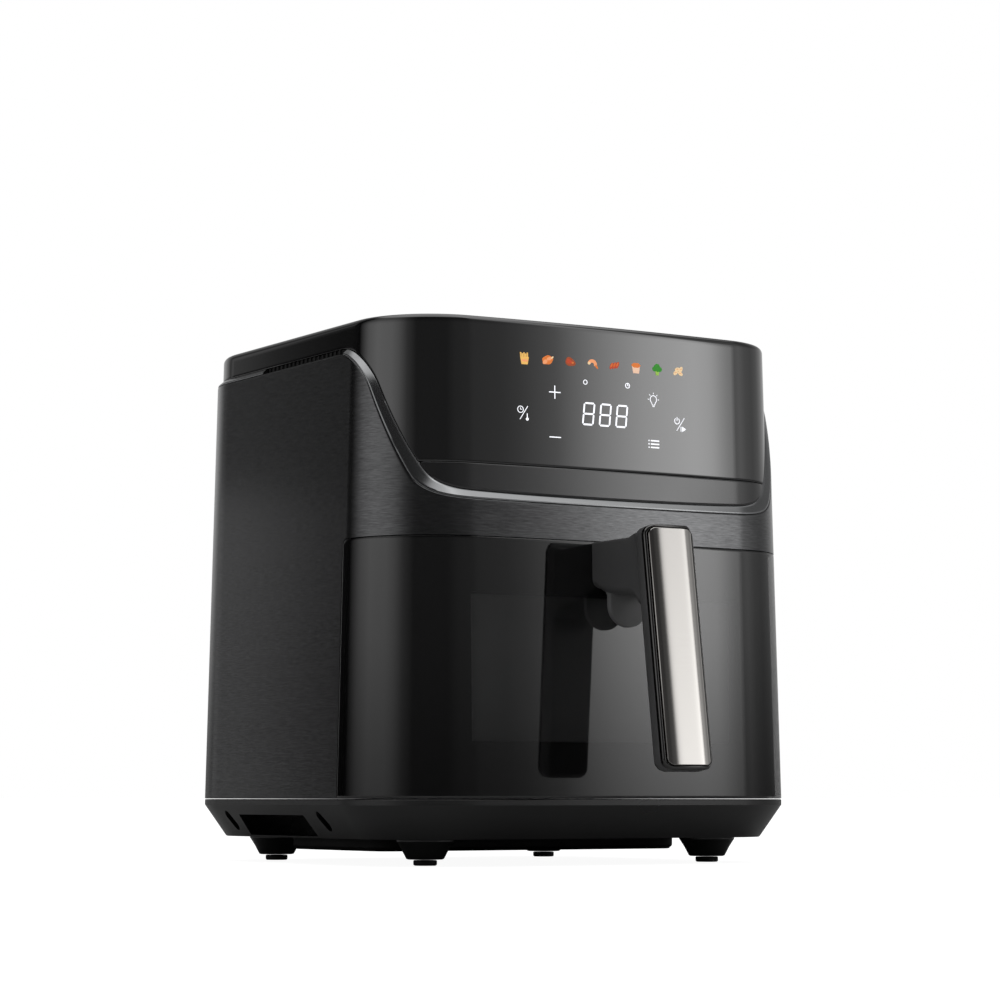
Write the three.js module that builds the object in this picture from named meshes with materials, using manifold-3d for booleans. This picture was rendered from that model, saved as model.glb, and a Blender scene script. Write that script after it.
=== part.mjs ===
// Air fryer with one pull-out basket, a window in the drawer front and a touch panel above it.
// Millimetres, +Z up, +X to the right as seen from the front. The front faces -Y, the pads stand
// on z = 0, and the last lines put the origin in the middle of the footprint.
import * as THREE from 'three';
import { mergeVertices } from 'three/addons/utils/BufferGeometryUtils.js';
import Module from 'manifold-3d';

const wasm = await Module();
wasm.setup();

// Driving dimensions ------------------------------------------------------------------------

// Fits
const gap = 0.35;            // between two pieces that meet
const beyond = 400;          // reaches past the whole object, for cutting tools
const turnSteps = 8;         // facets in a quarter turn of the body's corners

// Body: rounded in plan, bowed at the front, narrowing upwards
const bodyWidth = 283.3;     // across the lip of the base
const bodyDepth = 270.6;     // back face to the ends of the bowed front
const bodyHeight = 300;
const frontBow = 3;
const frontCorner = 56.7;
const rearCorner = 61.5;
const wallLean = Math.tan(THREE.MathUtils.degToRad(1.27));
const shellWall = 2.4;
const capHeight = 21;        // from the shell's edge at the sides and back to the top
const panelHeight = 105.5;   // from the shell's edge at the front to the top
const shellBand = 16.8;      // shell between the drawer front and the panel

// Base and feet
const lipTop = 36;
const lipHeight = 3.3;
const chamferBottom = 14.4;
const chamferInset = 12.9;
const baseWall = 2.6;
const gripRecess = { front: -30, rear: 51, bottom: 17.4, top: 27.2 };
const ventSlot = { width: 4, bottom: 18.4, top: 29.2, offset: 19 };
const bellyInset = { side: 39.65, front: 83.3, rear: 73.3 };
const bellyBottom = 7;
const bellyCorner = 14;
const footInset = { side: 47.65, front: 46.3, rear: 47.3 };
const footTopRadius = 16;
const footBottomRadius = 10.75;
const padRadius = 6.5;
const padHeight = 3;

// Shoulder: the line, seen from the side, where the shell stops and the upper housing starts
const shoulderSetback = 73.8;
const shoulderCrown = 35;
const shoulderSweep = 26;
const shoulderSlope = THREE.MathUtils.degToRad(66.3);
const trimClearance = 2.6;
const trimHeight = 3.1;
const trimInset = 1.5;
const trimDepth = 3.6;
const trimFrontReach = 65.3;
const trimRearReach = 107.3;

// Upper housing, panel and strip
const housingInset = 3.1;
const housingWall = 2.5;
const skirtWall = 2.45;
const skirtReach = 8;
const panelReach = 59.3;
const stripHeight = 23.5;
const topRimWidth = 9;
const topPlateThickness = 3.4;
const displayBorder = { side: 67.65, bottom: 8, top: 10 };

// Drawer
const drawerReach = 60.3;    // how far the front wraps round the sides
const drawerCornerRadius = 4.5;
const glassThickness = 3;
const frameWall = 2.3;
const windowBorder = { side: 52.65, bottom: 31.3, top: 30 };
const paneThickness = 3;
const paneDepth = 18;
const gasketBorder = 5;
const drawerPlateDepth = 25.3;
const drawerPlateThickness = 2.6;
const drawerPlateInset = 23.65;

// Drawer bay
const bayInset = 19;
const bayWall = 1.2;
const bayFloorGap = 2.3;
const bayRoofGap = 0.8;
const frameRear = 64.3;      // frame round the opening, from the body's front face
const frameSetback = 7.9;    // from the basket's front to the frame
const frameSill = 2.2;
const deckThickness = 1.8;
const mouthClearance = 1.5;
const railWidth = 10;
const railHeight = 2.8;
const railInset = 22;

// Basket and crisper plate
const basketClearance = 6.4;
const basketHeadroom = 7.7;
const basketCorner = 32;
const basketWall = 1.6;
const basketRim = 3.5;
const basketRimHeight = 2.5;
const basketGlassBorder = { side: 5, bottom: 31, top: 28 };
const basketGlassThickness = 1.4;
const crisperClearance = 3.6;
const crisperThickness = 2.4;
const crisperLeg = { radius: 5, height: 9, inset: 31 };
const crisperSlot = { width: 5, length: 22, pitchX: 22, pitchY: 32 };
const bumperWidth = 18;
const bumperHeight = 8;

// Hot air chamber
const chamberBorder = 20.2;  // from the chamber to the bay's side wall
const chamberBackBorder = 13.8;
const chamberHeight = 42.7;
const chamberWall = 1.2;
const chamberFlange = 6.5;
const guardRise = 4.5;
const guardBar = 2.4;
const rodRadius = 3.2;
const elementRise = 8;
const elementBorder = 18;    // from the chamber's wall to the outer ring
const elementSpacing = 20;
const terminalBorder = 10;
const clipCount = 2;
const lampRadius = 8;
const lampBorder = 14.5;

// Motor and its two fans
const shaftRadius = 4;
const hotFan = { border: 28, rise: 7, height: 14, blades: 8, hub: 9, blade: 1.6 };
const coolFanPitch = 28;
const coolFan = { radius: 56, rise: 5, height: 13, blades: 7, hub: 12, blade: 1.8 };
const motorRadius = 31;
const motorRise = 7.8;
const motorHeight = 32;
const bracketPlate = { halfWidth: 58, halfDepth: 32, leg: 4 };

// Exhaust and mains inlet at the back
const ductLength = 22;
const exhaust = { halfWidth: 58, rise: 10.3, height: 44, slots: 6, slotHeight: 3.6 };
const gland = { inset: 79.65, height: 62, radius: 9, flange: 13, bore: 4.6, proud: 3 };

// Handle, and the release trigger under its bracket
const handleWidth = 32;
const handleLength = 133;
const handleThickness = 15;
const handleTilt = THREE.MathUtils.degToRad(8);
const handleReach = 64.65;
const handleDrop = 59.7;
const handleCorner = 6;
const bezelBorder = 1.8;
const bezelDepth = 3.6;
const plateThickness = 2.6;
const bracketWidth = 30;
const triggerWidth = 25;
const triggerThickness = 4;
const triggerLength = 20;
const triggerReach = 12.7;
const triggerDrop = 27.7;
const triggerRoom = 4.6;
const pinRadius = 1;
const screwRadius = 2;
const screwHead = 4;
const screwAcross = 8;
const screwDrop = 12.7;
const screwReach = 15.2;

// Places that follow from the sizes ---------------------------------------------------------

const sideFace = bodyWidth / 2;
const endFace = bodyDepth / 2;
const lean = (z) => (z - lipTop) * wallLean;
const faceFront = (z) => lean(z) - endFace - frontBow;
const faceRear = (z) => endFace - lean(z);

// The bowed front is an arc that runs smoothly into both front corners.
const frontAcross = sideFace - frontCorner;
const frontAlong = endFace - frontCorner;
const bowRadius = (frontAcross ** 2 + frontBow ** 2) / (2 * frontBow) + frontCorner;
const bowAngle = Math.asin(frontAcross / (bowRadius - frontCorner));

const shoulderHigh = bodyHeight - capHeight;
const shoulderLow = bodyHeight - panelHeight;
const shoulderStart = shoulderSetback - endFace;
const trimFrontEnd = trimFrontReach - endFace;
const trimRearEnd = endFace - trimRearReach;
const panelSeam = panelReach - endFace;
const stripTop = shoulderLow + stripHeight;
const displayWindow = {
  halfWidth: sideFace - displayBorder.side,
  bottom: stripTop + displayBorder.bottom,
  top: bodyHeight - displayBorder.top,
};

const drawerTop = shoulderLow - shellBand;
const drawerWrap = drawerReach - endFace;
const windowWidth = bodyWidth - 2 * windowBorder.side;
const windowBottom = lipTop + windowBorder.bottom;
const windowTop = drawerTop - windowBorder.top;
const paneFront = faceFront(windowBottom) + paneDepth;
const drawerPlateFront = drawerPlateDepth - endFace;
const drawerPlateBack = drawerPlateFront + drawerPlateThickness;

const bayBottom = lipTop + bayFloorGap;
const bayTop = drawerTop + bayRoofGap;
const basketFront = drawerPlateBack + gap;
const frameBack = frameRear - endFace;
const bayFront = frameBack + gap;
const basketBottom = bayBottom + bayWall + railHeight + 2 * gap;
const basketTop = drawerTop - basketHeadroom;
const basketInset = bayInset + bayWall + lean(basketTop) + basketClearance;
const basketHalfWidth = sideFace - basketInset;
const basketDepth = endFace - basketInset - basketFront;
const basketMiddle = basketFront + basketDepth / 2;
const basketWindow = {
  halfWidth: windowWidth / 2 - basketGlassBorder.side,
  bottom: basketBottom + basketGlassBorder.bottom,
  top: basketTop - basketGlassBorder.top,
};
const railAcross = basketHalfWidth - railInset;
const crisperBottom = basketBottom + basketWall + gap + crisperLeg.height;

const bayHalfWidth = sideFace - bayInset - bayWall - lean(bayTop);
const bayBack = endFace - bayInset - bayWall - lean(bayTop);
const chamberRadius = Math.min(bayHalfWidth - chamberBorder, bayBack - chamberBackBorder);
const chamberTop = bayTop + chamberHeight;
const guardHeight = bayTop + guardRise;
const elementHeight = guardHeight + elementRise;
const elementOuter = chamberRadius - elementBorder;
const elementInner = elementOuter - elementSpacing;
const terminalRadius = chamberRadius - terminalBorder;
const terminalAngles = [THREE.MathUtils.degToRad(15), 0];
const lampAcross = bayHalfWidth - lampBorder;
const lampDistance = chamberRadius + chamberFlange + lampRadius + 1.5;
const lampPlace = [-lampAcross, -Math.sqrt(Math.max(0, lampDistance ** 2 - lampAcross ** 2))];

const hotFanBottom = elementHeight + hotFan.rise;
const hotFanRadius = chamberRadius - hotFan.border;
const motorBottom = chamberTop + motorRise;
const motorTop = motorBottom + motorHeight;
const coolFanBottom = motorTop + coolFan.rise;

const exhaustBottom = drawerTop + exhaust.rise;
const exhaustTop = exhaustBottom + exhaust.height;
const glandAcross = sideFace - gland.inset;

const handleFront = -endFace - handleReach;
const handleHeight = drawerTop - handleDrop;
const triggerPivot = { front: -endFace - triggerReach, height: drawerTop - triggerDrop };
const screwHeight = drawerTop - screwDrop;

// Materials ---------------------------------------------------------------------------------

const paint = (color, roughness, metalness = 0) =>
  new THREE.MeshStandardMaterial({ color, roughness, metalness });
const glossBlack = paint(0x0b0b0c, 0.08);
const matteBlack = paint(0x17171a, 0.6);
const satinGrey = paint(0x2a2a2d, 0.4);
const brushedDark = paint(0x2c2d30, 0.35, 0.8);
const brightTrim = paint(0x9b9da0, 0.25, 1);
const pearlNickel = paint(0xb9b2ab, 0.2, 1);
const steel = paint(0xb4b6b8, 0.35, 1);
const nonStick = paint(0x1b1b1d, 0.45, 0.2);
const glass = paint(0x20242a, 0.05);
const silicone = paint(0x222224, 0.8);
const circuit = paint(0x1f5a35, 0.5);
const ceramic = paint(0xd8d2c4, 0.7);

// Solids ------------------------------------------------------------------------------------

function signedVolume(positions, index) {
  const corner = (i) => new THREE.Vector3().fromArray(positions, 3 * index[i]);
  let sum = 0;
  for (let i = 0; i < index.length; i += 3) {
    sum += corner(i).dot(corner(i + 1).cross(corner(i + 2)));
  }
  return sum;
}

// A closed geometry as a solid, with its faces turned outwards.
function solid(geometry) {
  geometry.deleteAttribute('normal');
  geometry.deleteAttribute('uv');
  const merged = mergeVertices(geometry, 1e-4);
  const vertProperties = new Float32Array(merged.attributes.position.array);
  const triVerts = new Uint32Array(merged.index.array);
  if (signedVolume(vertProperties, triVerts) < 0) triVerts.reverse();
  return new wasm.Manifold(new wasm.Mesh({ numProp: 3, vertProperties, triVerts }));
}

// A solid as a named mesh.
function piece(name, shape, material) {
  const { vertProperties, triVerts } = shape.getMesh();
  const geometry = new THREE.BufferGeometry();
  geometry.setAttribute('position', new THREE.BufferAttribute(new Float32Array(vertProperties), 3));
  geometry.setIndex(new THREE.BufferAttribute(new Uint32Array(triVerts), 1));
  geometry.computeVertexNormals();
  const mesh = new THREE.Mesh(geometry, material);
  mesh.name = name;
  return mesh;
}

const join = (...shapes) => shapes.reduce((sum, shape) => sum.add(shape));
const cut = (shape, ...tools) => tools.reduce((rest, tool) => rest.subtract(tool), shape);

function block(x0, x1, y0, y1, z0, z1) {
  const geometry = new THREE.BoxGeometry(x1 - x0, y1 - y0, z1 - z0);
  return solid(geometry.translate((x0 + x1) / 2, (y0 + y1) / 2, (z0 + z1) / 2));
}

// A solid through outlines of equal point count, one above the other.
function loft(rings) {
  const count = rings[0].length;
  const points = rings.flat();
  const first = points.length;
  const last = first + 1;
  const middle = (ring) => ring.reduce((sum, p) => sum.add(p), new THREE.Vector3()).divideScalar(count);
  points.push(middle(rings[0]), middle(rings[rings.length - 1]));
  const index = [];
  for (let i = 0; i < count; i += 1) {
    const next = (i + 1) % count;
    const top = (rings.length - 1) * count;
    index.push(first, next, i, last, top + i, top + next);
    for (let level = 0; level < rings.length - 1; level += 1) {
      const low = level * count;
      const high = low + count;
      index.push(low + i, low + next, high + next, low + i, high + next, high + i);
    }
  }
  const geometry = new THREE.BufferGeometry();
  const numbers = points.flatMap((p) => p.toArray());
  geometry.setAttribute('position', new THREE.Float32BufferAttribute(numbers, 3));
  geometry.setIndex(index);
  return solid(geometry);
}

// A profile of [radius, height] pairs, turned about the Z axis. It closes on itself.
function turned(profile, segments = 48) {
  const points = [...profile, profile[0]].map(([r, z]) => new THREE.Vector2(r, z));
  return solid(new THREE.LatheGeometry(points, segments).rotateX(Math.PI / 2));
}

const rod = (radius, z0, z1, segments = 20) =>
  solid(new THREE.CylinderGeometry(radius, radius, z1 - z0, segments).rotateX(Math.PI / 2)
    .translate(0, 0, (z0 + z1) / 2));

const alongY = (radius, y0, y1, x, z, segments = 16) =>
  solid(new THREE.CylinderGeometry(radius, radius, y1 - y0, segments).translate(x, (y0 + y1) / 2, z));

const alongX = (radius, x0, x1, y, z, segments = 16) =>
  solid(new THREE.CylinderGeometry(radius, radius, x1 - x0, segments).rotateZ(Math.PI / 2)
    .translate((x0 + x1) / 2, y, z));

// A side outline of [y, z] pairs, stretched along X.
function sidePrism(outline, x0, x1) {
  const shape = new THREE.Shape(outline.map(([y, z]) => new THREE.Vector2(y, z)));
  const turn = new THREE.Matrix4().makeBasis(
    new THREE.Vector3(0, 1, 0), new THREE.Vector3(0, 0, 1), new THREE.Vector3(1, 0, 0));
  const geometry = new THREE.ExtrudeGeometry(shape, { depth: x1 - x0, bevelEnabled: false });
  return solid(geometry.applyMatrix4(turn).translate(x0, 0, 0));
}

// Corner points of a rounded rectangle as [u, v], counter-clockwise.
function roundedRectangle(halfU, halfV, radius, steps = 5) {
  const points = [];
  for (let corner = 0; corner < 4; corner += 1) {
    const u = (corner === 0 || corner === 3 ? 1 : -1) * (halfU - radius);
    const v = (corner < 2 ? 1 : -1) * (halfV - radius);
    for (let step = 0; step <= steps; step += 1) {
      const angle = (corner + step / steps) * Math.PI / 2;
      points.push([u + radius * Math.cos(angle), v + radius * Math.sin(angle)]);
    }
  }
  return points;
}

// Body surfaces -----------------------------------------------------------------------------

// The body's outline in plan, set in from the outer face, at height z.
function bodyOutline(inset, z) {
  const points = [];
  const arc = (x, y, radius, from, to, steps) => {
    for (let step = 0; step <= steps; step += 1) {
      const angle = from + (to - from) * step / steps;
      points.push(new THREE.Vector3(x + (radius - inset) * Math.cos(angle),
        y + (radius - inset) * Math.sin(angle), z));
    }
  };
  const quarter = Math.PI / 2;
  const rearAcross = sideFace - rearCorner;
  const rearAlong = endFace - rearCorner;
  arc(rearAcross, rearAlong, rearCorner, 0, quarter, turnSteps);
  arc(-rearAcross, rearAlong, rearCorner, quarter, 2 * quarter, turnSteps);
  arc(-frontAcross, -frontAlong, frontCorner, 2 * quarter, 3 * quarter - bowAngle, turnSteps);
  arc(0, bowRadius - endFace - frontBow, bowRadius, 3 * quarter - bowAngle, 3 * quarter + bowAngle, 6);
  arc(frontAcross, -frontAlong, frontCorner, 3 * quarter + bowAngle, 4 * quarter, turnSteps);
  return points.filter((p, i) => i === 0 || p.distanceTo(points[i - 1]) > 0.01);
}

const bodySolid = (inset, z0, z1) =>
  loft([z0, z1].map((z) => bodyOutline(inset + lean(z), z)));

const bodyWall = (outer, inner, z0, z1) =>
  cut(bodySolid(outer, z0, z1), bodySolid(inner, z0 - 1, z1 + 1));

// The shoulder line from back to front, moved outwards from the shell by an offset.
function shoulderLine(offset) {
  const crown = shoulderCrown + offset;
  const sweep = shoulderSweep - offset;
  const turn = 1 - Math.cos(shoulderSlope);
  const drop = shoulderHigh - shoulderLow - (shoulderCrown + shoulderSweep) * turn;
  const run = drop / Math.tan(shoulderSlope)
    + (shoulderCrown + shoulderSweep) * Math.sin(shoulderSlope);
  const end = shoulderStart - run;
  const points = [[beyond, shoulderHigh + offset]];
  for (let step = 0; step <= turnSteps; step += 1) {
    const angle = shoulderSlope * step / turnSteps;
    points.push([shoulderStart - crown * Math.sin(angle),
      shoulderHigh - shoulderCrown + crown * Math.cos(angle)]);
  }
  for (let step = turnSteps; step >= 0; step -= 1) {
    const angle = shoulderSlope * step / turnSteps;
    points.push([end + sweep * Math.sin(angle), shoulderLow + shoulderSweep - sweep * Math.cos(angle)]);
  }
  points.push([-beyond, shoulderLow + offset]);
  return points;
}

const aboveShoulder = (offset) =>
  sidePrism([...shoulderLine(offset), [-beyond, beyond], [beyond, beyond]], -beyond, beyond);

// Everything in front of the line where the drawer front ends on the sides of the body.
function drawerProfile(clearance) {
  const rear = drawerWrap - clearance;
  const top = drawerTop - clearance;
  const radius = drawerCornerRadius - clearance;
  const outline = [[-beyond, lipTop + gap + clearance], [rear, lipTop + gap + clearance]];
  for (let step = 0; step <= 4; step += 1) {
    const angle = step / 4 * Math.PI / 2;
    outline.push([rear - radius + radius * Math.cos(angle), top - radius + radius * Math.sin(angle)]);
  }
  outline.push([-beyond, top]);
  return sidePrism(outline, -beyond, beyond);
}

// Base and feet -----------------------------------------------------------------------------

function baseTray() {
  const lipBottom = lipTop - lipHeight;
  const outer = loft([
    bodyOutline(chamferInset, chamferBottom), bodyOutline(0, lipBottom), bodyOutline(0, lipTop)]);
  const inner = loft([
    bodyOutline(chamferInset + baseWall, chamferBottom + baseWall),
    bodyOutline(baseWall, lipBottom), bodyOutline(baseWall, lipTop + 1)]);
  const { front, rear, bottom, top } = gripRecess;
  const slots = [front - ventSlot.offset, rear + ventSlot.offset - ventSlot.width].map((y) =>
    block(-beyond, beyond, y, y + ventSlot.width, ventSlot.bottom, ventSlot.top));
  return cut(outer, inner, block(-beyond, beyond, front, rear, bottom, top), ...slots);
}

function bottomPlate() {
  const top = chamferBottom - gap;
  const across = sideFace - bellyInset.side;
  const middle = (bellyInset.front - bellyInset.rear) / 2;
  const along = endFace - (bellyInset.front + bellyInset.rear) / 2;
  const ring = (inset, z) => roundedRectangle(across - inset, along - inset, bellyCorner - inset)
    .map(([x, y]) => new THREE.Vector3(x, y + middle, z));
  const dish = cut(loft([ring(2, bellyBottom), ring(0, bellyBottom + 2), ring(0, top)]),
    loft([ring(4, bellyBottom + baseWall), ring(4, top + 1)]));
  const slots = [];
  for (let x = -70; x <= 70; x += 20) {
    slots.push(block(x - 2.5, x + 2.5, middle - 32, middle + 32, 0, top));
  }
  return cut(dish, ...slots);
}

function feet() {
  const post = turned([[0, padHeight + gap], [footBottomRadius - 1, padHeight + gap],
    [footBottomRadius, padHeight + gap + 1], [footTopRadius, chamferBottom - gap],
    [0, chamferBottom - gap]], 24);
  const pad = turned([[0, 0], [padRadius - 1, 0], [padRadius, 1], [padRadius, padHeight],
    [0, padHeight]], 20);
  const pieces = [];
  const across = sideFace - footInset.side;
  for (const [end, y] of [['front', footInset.front - endFace], ['rear', endFace - footInset.rear]]) {
    for (const [side, x] of [['left', -across], ['right', across]]) {
      const leg = piece(`foot_${end}_${side}`, post, matteBlack);
      const sole = piece(`foot_pad_${end}_${side}`, pad, silicone);
      for (const mesh of [leg, sole]) mesh.position.set(x, y, 0);
      pieces.push(leg, sole);
    }
  }
  return pieces;
}

// Outer shell and upper housing -------------------------------------------------------------

function outerShell() {
  const { halfWidth } = exhaust;
  const wall = bodyWall(0, shellWall, lipTop + gap, bodyHeight);
  return cut(wall, aboveShoulder(trimClearance - gap), drawerProfile(-gap),
    block(-beyond, beyond, -beyond, drawerWrap - drawerCornerRadius, lipTop, lipTop + 2 * gap),
    block(-halfWidth, halfWidth, 0, beyond, exhaustBottom, exhaustTop),
    alongY(gland.radius + gap, 0, beyond, glandAcross, gland.height));
}

// The shell of the upper housing and the panel: a wall with a rim that carries the top plate.
function housingCap(innerInset) {
  const rimTop = bodyHeight - 0.4;
  const outline = (inset, z) => bodyOutline(housingInset + inset + lean(z), z);
  const outer = loft([outline(0, shoulderLow), outline(0, rimTop - 3.2), outline(0.9, rimTop - 1.1),
    outline(3, rimTop)]);
  const ledge = bodyHeight - topPlateThickness - gap;
  return cut(outer, bodySolid(innerInset, shoulderLow - 1, ledge - 1.6),
    bodySolid(housingInset + topRimWidth, ledge, beyond),
    bodySolid(housingInset + topRimWidth + 5, shoulderLow, beyond));
}

const housingEdge = trimClearance + trimHeight + gap;
const skirtInset = housingInset + housingWall + gap;

function upperHousing() {
  const cap = cut(housingCap(skirtInset + 0.3).intersect(aboveShoulder(housingEdge)),
    block(-beyond, beyond, -beyond, panelSeam + gap, 0, beyond));
  const skirtTop = bodyHeight - topPlateThickness - 3;
  const skirt = bodyWall(skirtInset, skirtInset + skirtWall, shoulderLow - skirtReach, skirtTop);
  const { halfWidth, bottom, top } = displayWindow;
  const opening = block(-halfWidth, halfWidth, -beyond, 0, bottom, top);
  return join(cap, cut(skirt.intersect(aboveShoulder(-skirtReach)), opening));
}

function controlPanel() {
  const cap = housingCap(housingInset + housingWall).intersect(aboveShoulder(housingEdge));
  return cap.intersect(block(-beyond, beyond, -beyond, panelSeam, stripTop + gap, beyond));
}

function panelStrip() {
  const wall = bodyWall(housingInset, housingInset + housingWall, shoulderLow, stripTop);
  return wall.intersect(aboveShoulder(housingEdge));
}

const topPlate = () =>
  bodySolid(housingInset + topRimWidth + gap, bodyHeight - topPlateThickness, bodyHeight);

const trimBand = (y0, y1, inset) =>
  cut(bodyWall(inset, trimInset + trimDepth, shoulderLow - 5, bodyHeight)
    .intersect(aboveShoulder(trimClearance)), aboveShoulder(trimClearance + trimHeight))
    .intersect(block(-beyond, beyond, y0, y1, 0, beyond));

function airInlet(side) {
  const band = trimBand(trimFrontEnd + gap, trimRearEnd - gap, trimInset + 0.7);
  const slots = [];
  for (let y = trimFrontEnd + 6; y < trimRearEnd - 6; y += 6) {
    slots.push(block(-beyond, beyond, y, y + 3, shoulderHigh + 1, shoulderHigh + trimHeight));
  }
  const half = side === 'left' ? [-beyond, 0] : [0, beyond];
  return cut(band, ...slots).intersect(block(...half, -beyond, beyond, 0, beyond));
}

function exhaustGrille() {
  const { halfWidth, height, slots, slotHeight } = exhaust;
  const plate = bodyWall(0.4, shellWall + 2, exhaustBottom, exhaustTop)
    .intersect(block(gap - halfWidth, halfWidth - gap, 0, beyond,
      exhaustBottom + gap, exhaustTop - gap));
  const pitch = height / (slots + 1);
  const openings = [];
  for (let row = 1; row <= slots; row += 1) {
    for (const side of [-1, 1]) {
      const x = side * halfWidth / 2;
      const z = exhaustBottom + row * pitch;
      openings.push(block(x - 24, x + 24, 0, beyond, z - slotHeight / 2, z + slotHeight / 2));
    }
  }
  return cut(plate, ...openings);
}

function exhaustDuct() {
  const rear = faceRear(exhaustTop) - shellWall - 2 - gap;
  const front = Math.max(chamberRadius + chamberFlange + 1, rear - ductLength);
  const { halfWidth } = exhaust;
  return cut(block(-halfWidth, halfWidth, front, rear, exhaustBottom, exhaustTop),
    block(-halfWidth + 1.6, halfWidth - 1.6, 0, beyond, exhaustBottom + 1.6, exhaustTop - 1.6));
}

function cordInlet() {
  const face = faceRear(gland.height - gland.flange) + gap;
  const { radius, flange, bore, height, proud } = gland;
  return cut(join(alongY(flange, face, face + proud, glandAcross, height, 24),
    alongY(radius, face - 10, face + 1, glandAcross, height, 24)),
  alongY(bore, 0, beyond, glandAcross, height));
}

// Drawer ------------------------------------------------------------------------------------

const screwHoles = (radius, front = -beyond) => [-screwAcross, screwAcross].map((x) =>
  alongY(radius, front, 0, x, screwHeight));

function drawerGlass() {
  const skin = bodyWall(0, glassThickness, lipTop, drawerTop + 5).intersect(drawerProfile(0));
  return cut(skin, ...screwHoles(screwRadius + gap));
}

function drawerFrame() {
  const outer = glassThickness + gap;
  const inFrame = drawerProfile(1);
  const skin = bodyWall(outer, outer + frameWall, lipTop, drawerTop).intersect(inFrame);
  const back = drawerPlateBack;
  const bottom = bayBottom + 1;
  const top = drawerTop - 3;
  const inFront = block(-beyond, beyond, -beyond, back, 0, beyond);
  const shelf = (z0, z1) => bodySolid(outer + 1, z0, z1).intersect(inFront);
  const reach = sideFace - drawerPlateInset;
  const plate = block(-reach, reach, drawerPlateFront, back, bottom, top);
  const tunnel = (grow) => shelf(windowBottom - grow, windowTop + grow)
    .intersect(block(-windowWidth / 2 - grow, windowWidth / 2 + grow, -beyond, back, 0, beyond));
  const body = join(skin, plate, shelf(bottom, bottom + 2.4), shelf(top - 2.4, top), tunnel(3));
  const window = block(-windowWidth / 2 - gap, windowWidth / 2 + gap, -beyond, 0,
    windowBottom - gap, windowTop + gap);
  return cut(body, window, ...screwHoles(screwRadius + gap));
}

const windowPane = () => block(-windowWidth / 2, windowWidth / 2, paneFront, paneFront + paneThickness,
  windowBottom, windowTop);

function windowGasket() {
  const front = paneFront + paneThickness + gap;
  const border = gasketBorder;
  return cut(block(-windowWidth / 2, windowWidth / 2, front, front + paneThickness,
    windowBottom, windowTop),
    block(-windowWidth / 2 + border, windowWidth / 2 - border, -beyond, 0,
      windowBottom + border, windowTop - border));
}

const basketRing = (inset, z) =>
  roundedRectangle(basketHalfWidth - inset, basketDepth / 2 - inset, basketCorner - inset, 6)
    .map(([x, y]) => new THREE.Vector3(x, y + basketMiddle, z));

function basket() {
  const outer = loft([basketRing(6, basketBottom), basketRing(0, basketBottom + 6),
    basketRing(0, basketTop)]);
  const rim = loft([basketTop - basketRimHeight, basketTop].map((z) => basketRing(-basketRim, z)));
  const inner = loft([basketRing(6 + basketWall, basketBottom + basketWall),
    basketRing(basketWall, basketBottom + 6 + basketWall), basketRing(basketWall, basketTop + 1)]);
  const { halfWidth, bottom, top } = basketWindow;
  return cut(join(outer, rim), inner,
    block(-halfWidth, halfWidth, -beyond, basketFront + 4, bottom, top),
    block(-beyond, beyond, -beyond, basketFront, 0, beyond));
}

function basketGlass() {
  const { halfWidth, bottom, top } = basketWindow;
  return block(gap - halfWidth, halfWidth - gap, basketFront, basketFront + basketGlassThickness,
    bottom + gap, top - gap);
}

function crisperPlate() {
  const inset = basketWall + crisperClearance;
  const plate = loft([basketRing(inset, crisperBottom),
    basketRing(inset, crisperBottom + crisperThickness)]);
  const { radius, height, inset: legInset } = crisperLeg;
  const legs = [-1, 1].flatMap((sx) => [-1, 1].map((sy) =>
    rod(radius, crisperBottom - height, crisperBottom + 1).translate(
      sx * (basketHalfWidth - legInset), basketMiddle + sy * (basketDepth / 2 - legInset + 4), 0)));
  const { width, length, pitchX, pitchY } = crisperSlot;
  const columns = Math.floor((basketHalfWidth - legInset - radius - width) / pitchX);
  const rows = Math.floor((basketDepth / 2 - inset - length) / pitchY);
  const slots = [];
  for (let row = -rows; row <= rows; row += 1) {
    for (let column = -columns; column <= columns; column += 1) {
      const x = column * pitchX;
      const y = basketMiddle + row * pitchY;
      slots.push(block(x - width / 2, x + width / 2, y - length / 2, y + length / 2, 0, beyond));
    }
  }
  return cut(join(plate, ...legs), ...slots);
}

// Silicone blocks clipped over the plate's edge, one in the middle of each side.
function crisperBumpers() {
  const halfWidth = basketHalfWidth - basketWall - crisperClearance;
  const halfDepth = basketDepth / 2 - basketWall - crisperClearance;
  const low = crisperBottom - (bumperHeight - crisperThickness) / 2;
  const clip = cut(block(-5, crisperClearance - 1.2, -bumperWidth / 2, bumperWidth / 2,
    low, low + bumperHeight),
    block(-beyond, gap, -beyond, beyond, crisperBottom - gap, crisperBottom + crisperThickness + gap));
  const places = [['right', halfWidth, 0, 0], ['rear', 0, halfDepth, 1],
    ['left', -halfWidth, 0, 2], ['front', 0, -halfDepth, 3]];
  return places.map(([side, x, y, quarter]) => {
    const bumper = piece(`crisper_bumper_${side}`, clip, silicone);
    bumper.position.set(x, basketMiddle + y, 0);
    bumper.rotation.z = quarter * Math.PI / 2;
    return bumper;
  });
}

// Handle and trigger ------------------------------------------------------------------------

// A rounded rectangle of the grip, in the grip's own plane, at a depth behind its face.
const gripRing = (inset, depth) =>
  roundedRectangle(handleWidth / 2 - inset, handleLength / 2 - inset, handleCorner - Math.min(inset, 3))
    .map(([x, z]) => new THREE.Vector3(x, depth, z));

const gripLoft = (...rings) => loft(rings.map(([inset, depth]) => gripRing(inset, depth)));

const triggerPocket = () => block(-triggerWidth / 2 - gap, triggerWidth / 2 + gap,
  triggerPivot.front - triggerRoom, triggerPivot.front + triggerRoom,
  triggerPivot.height - triggerLength, triggerPivot.height + triggerRoom);

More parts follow.
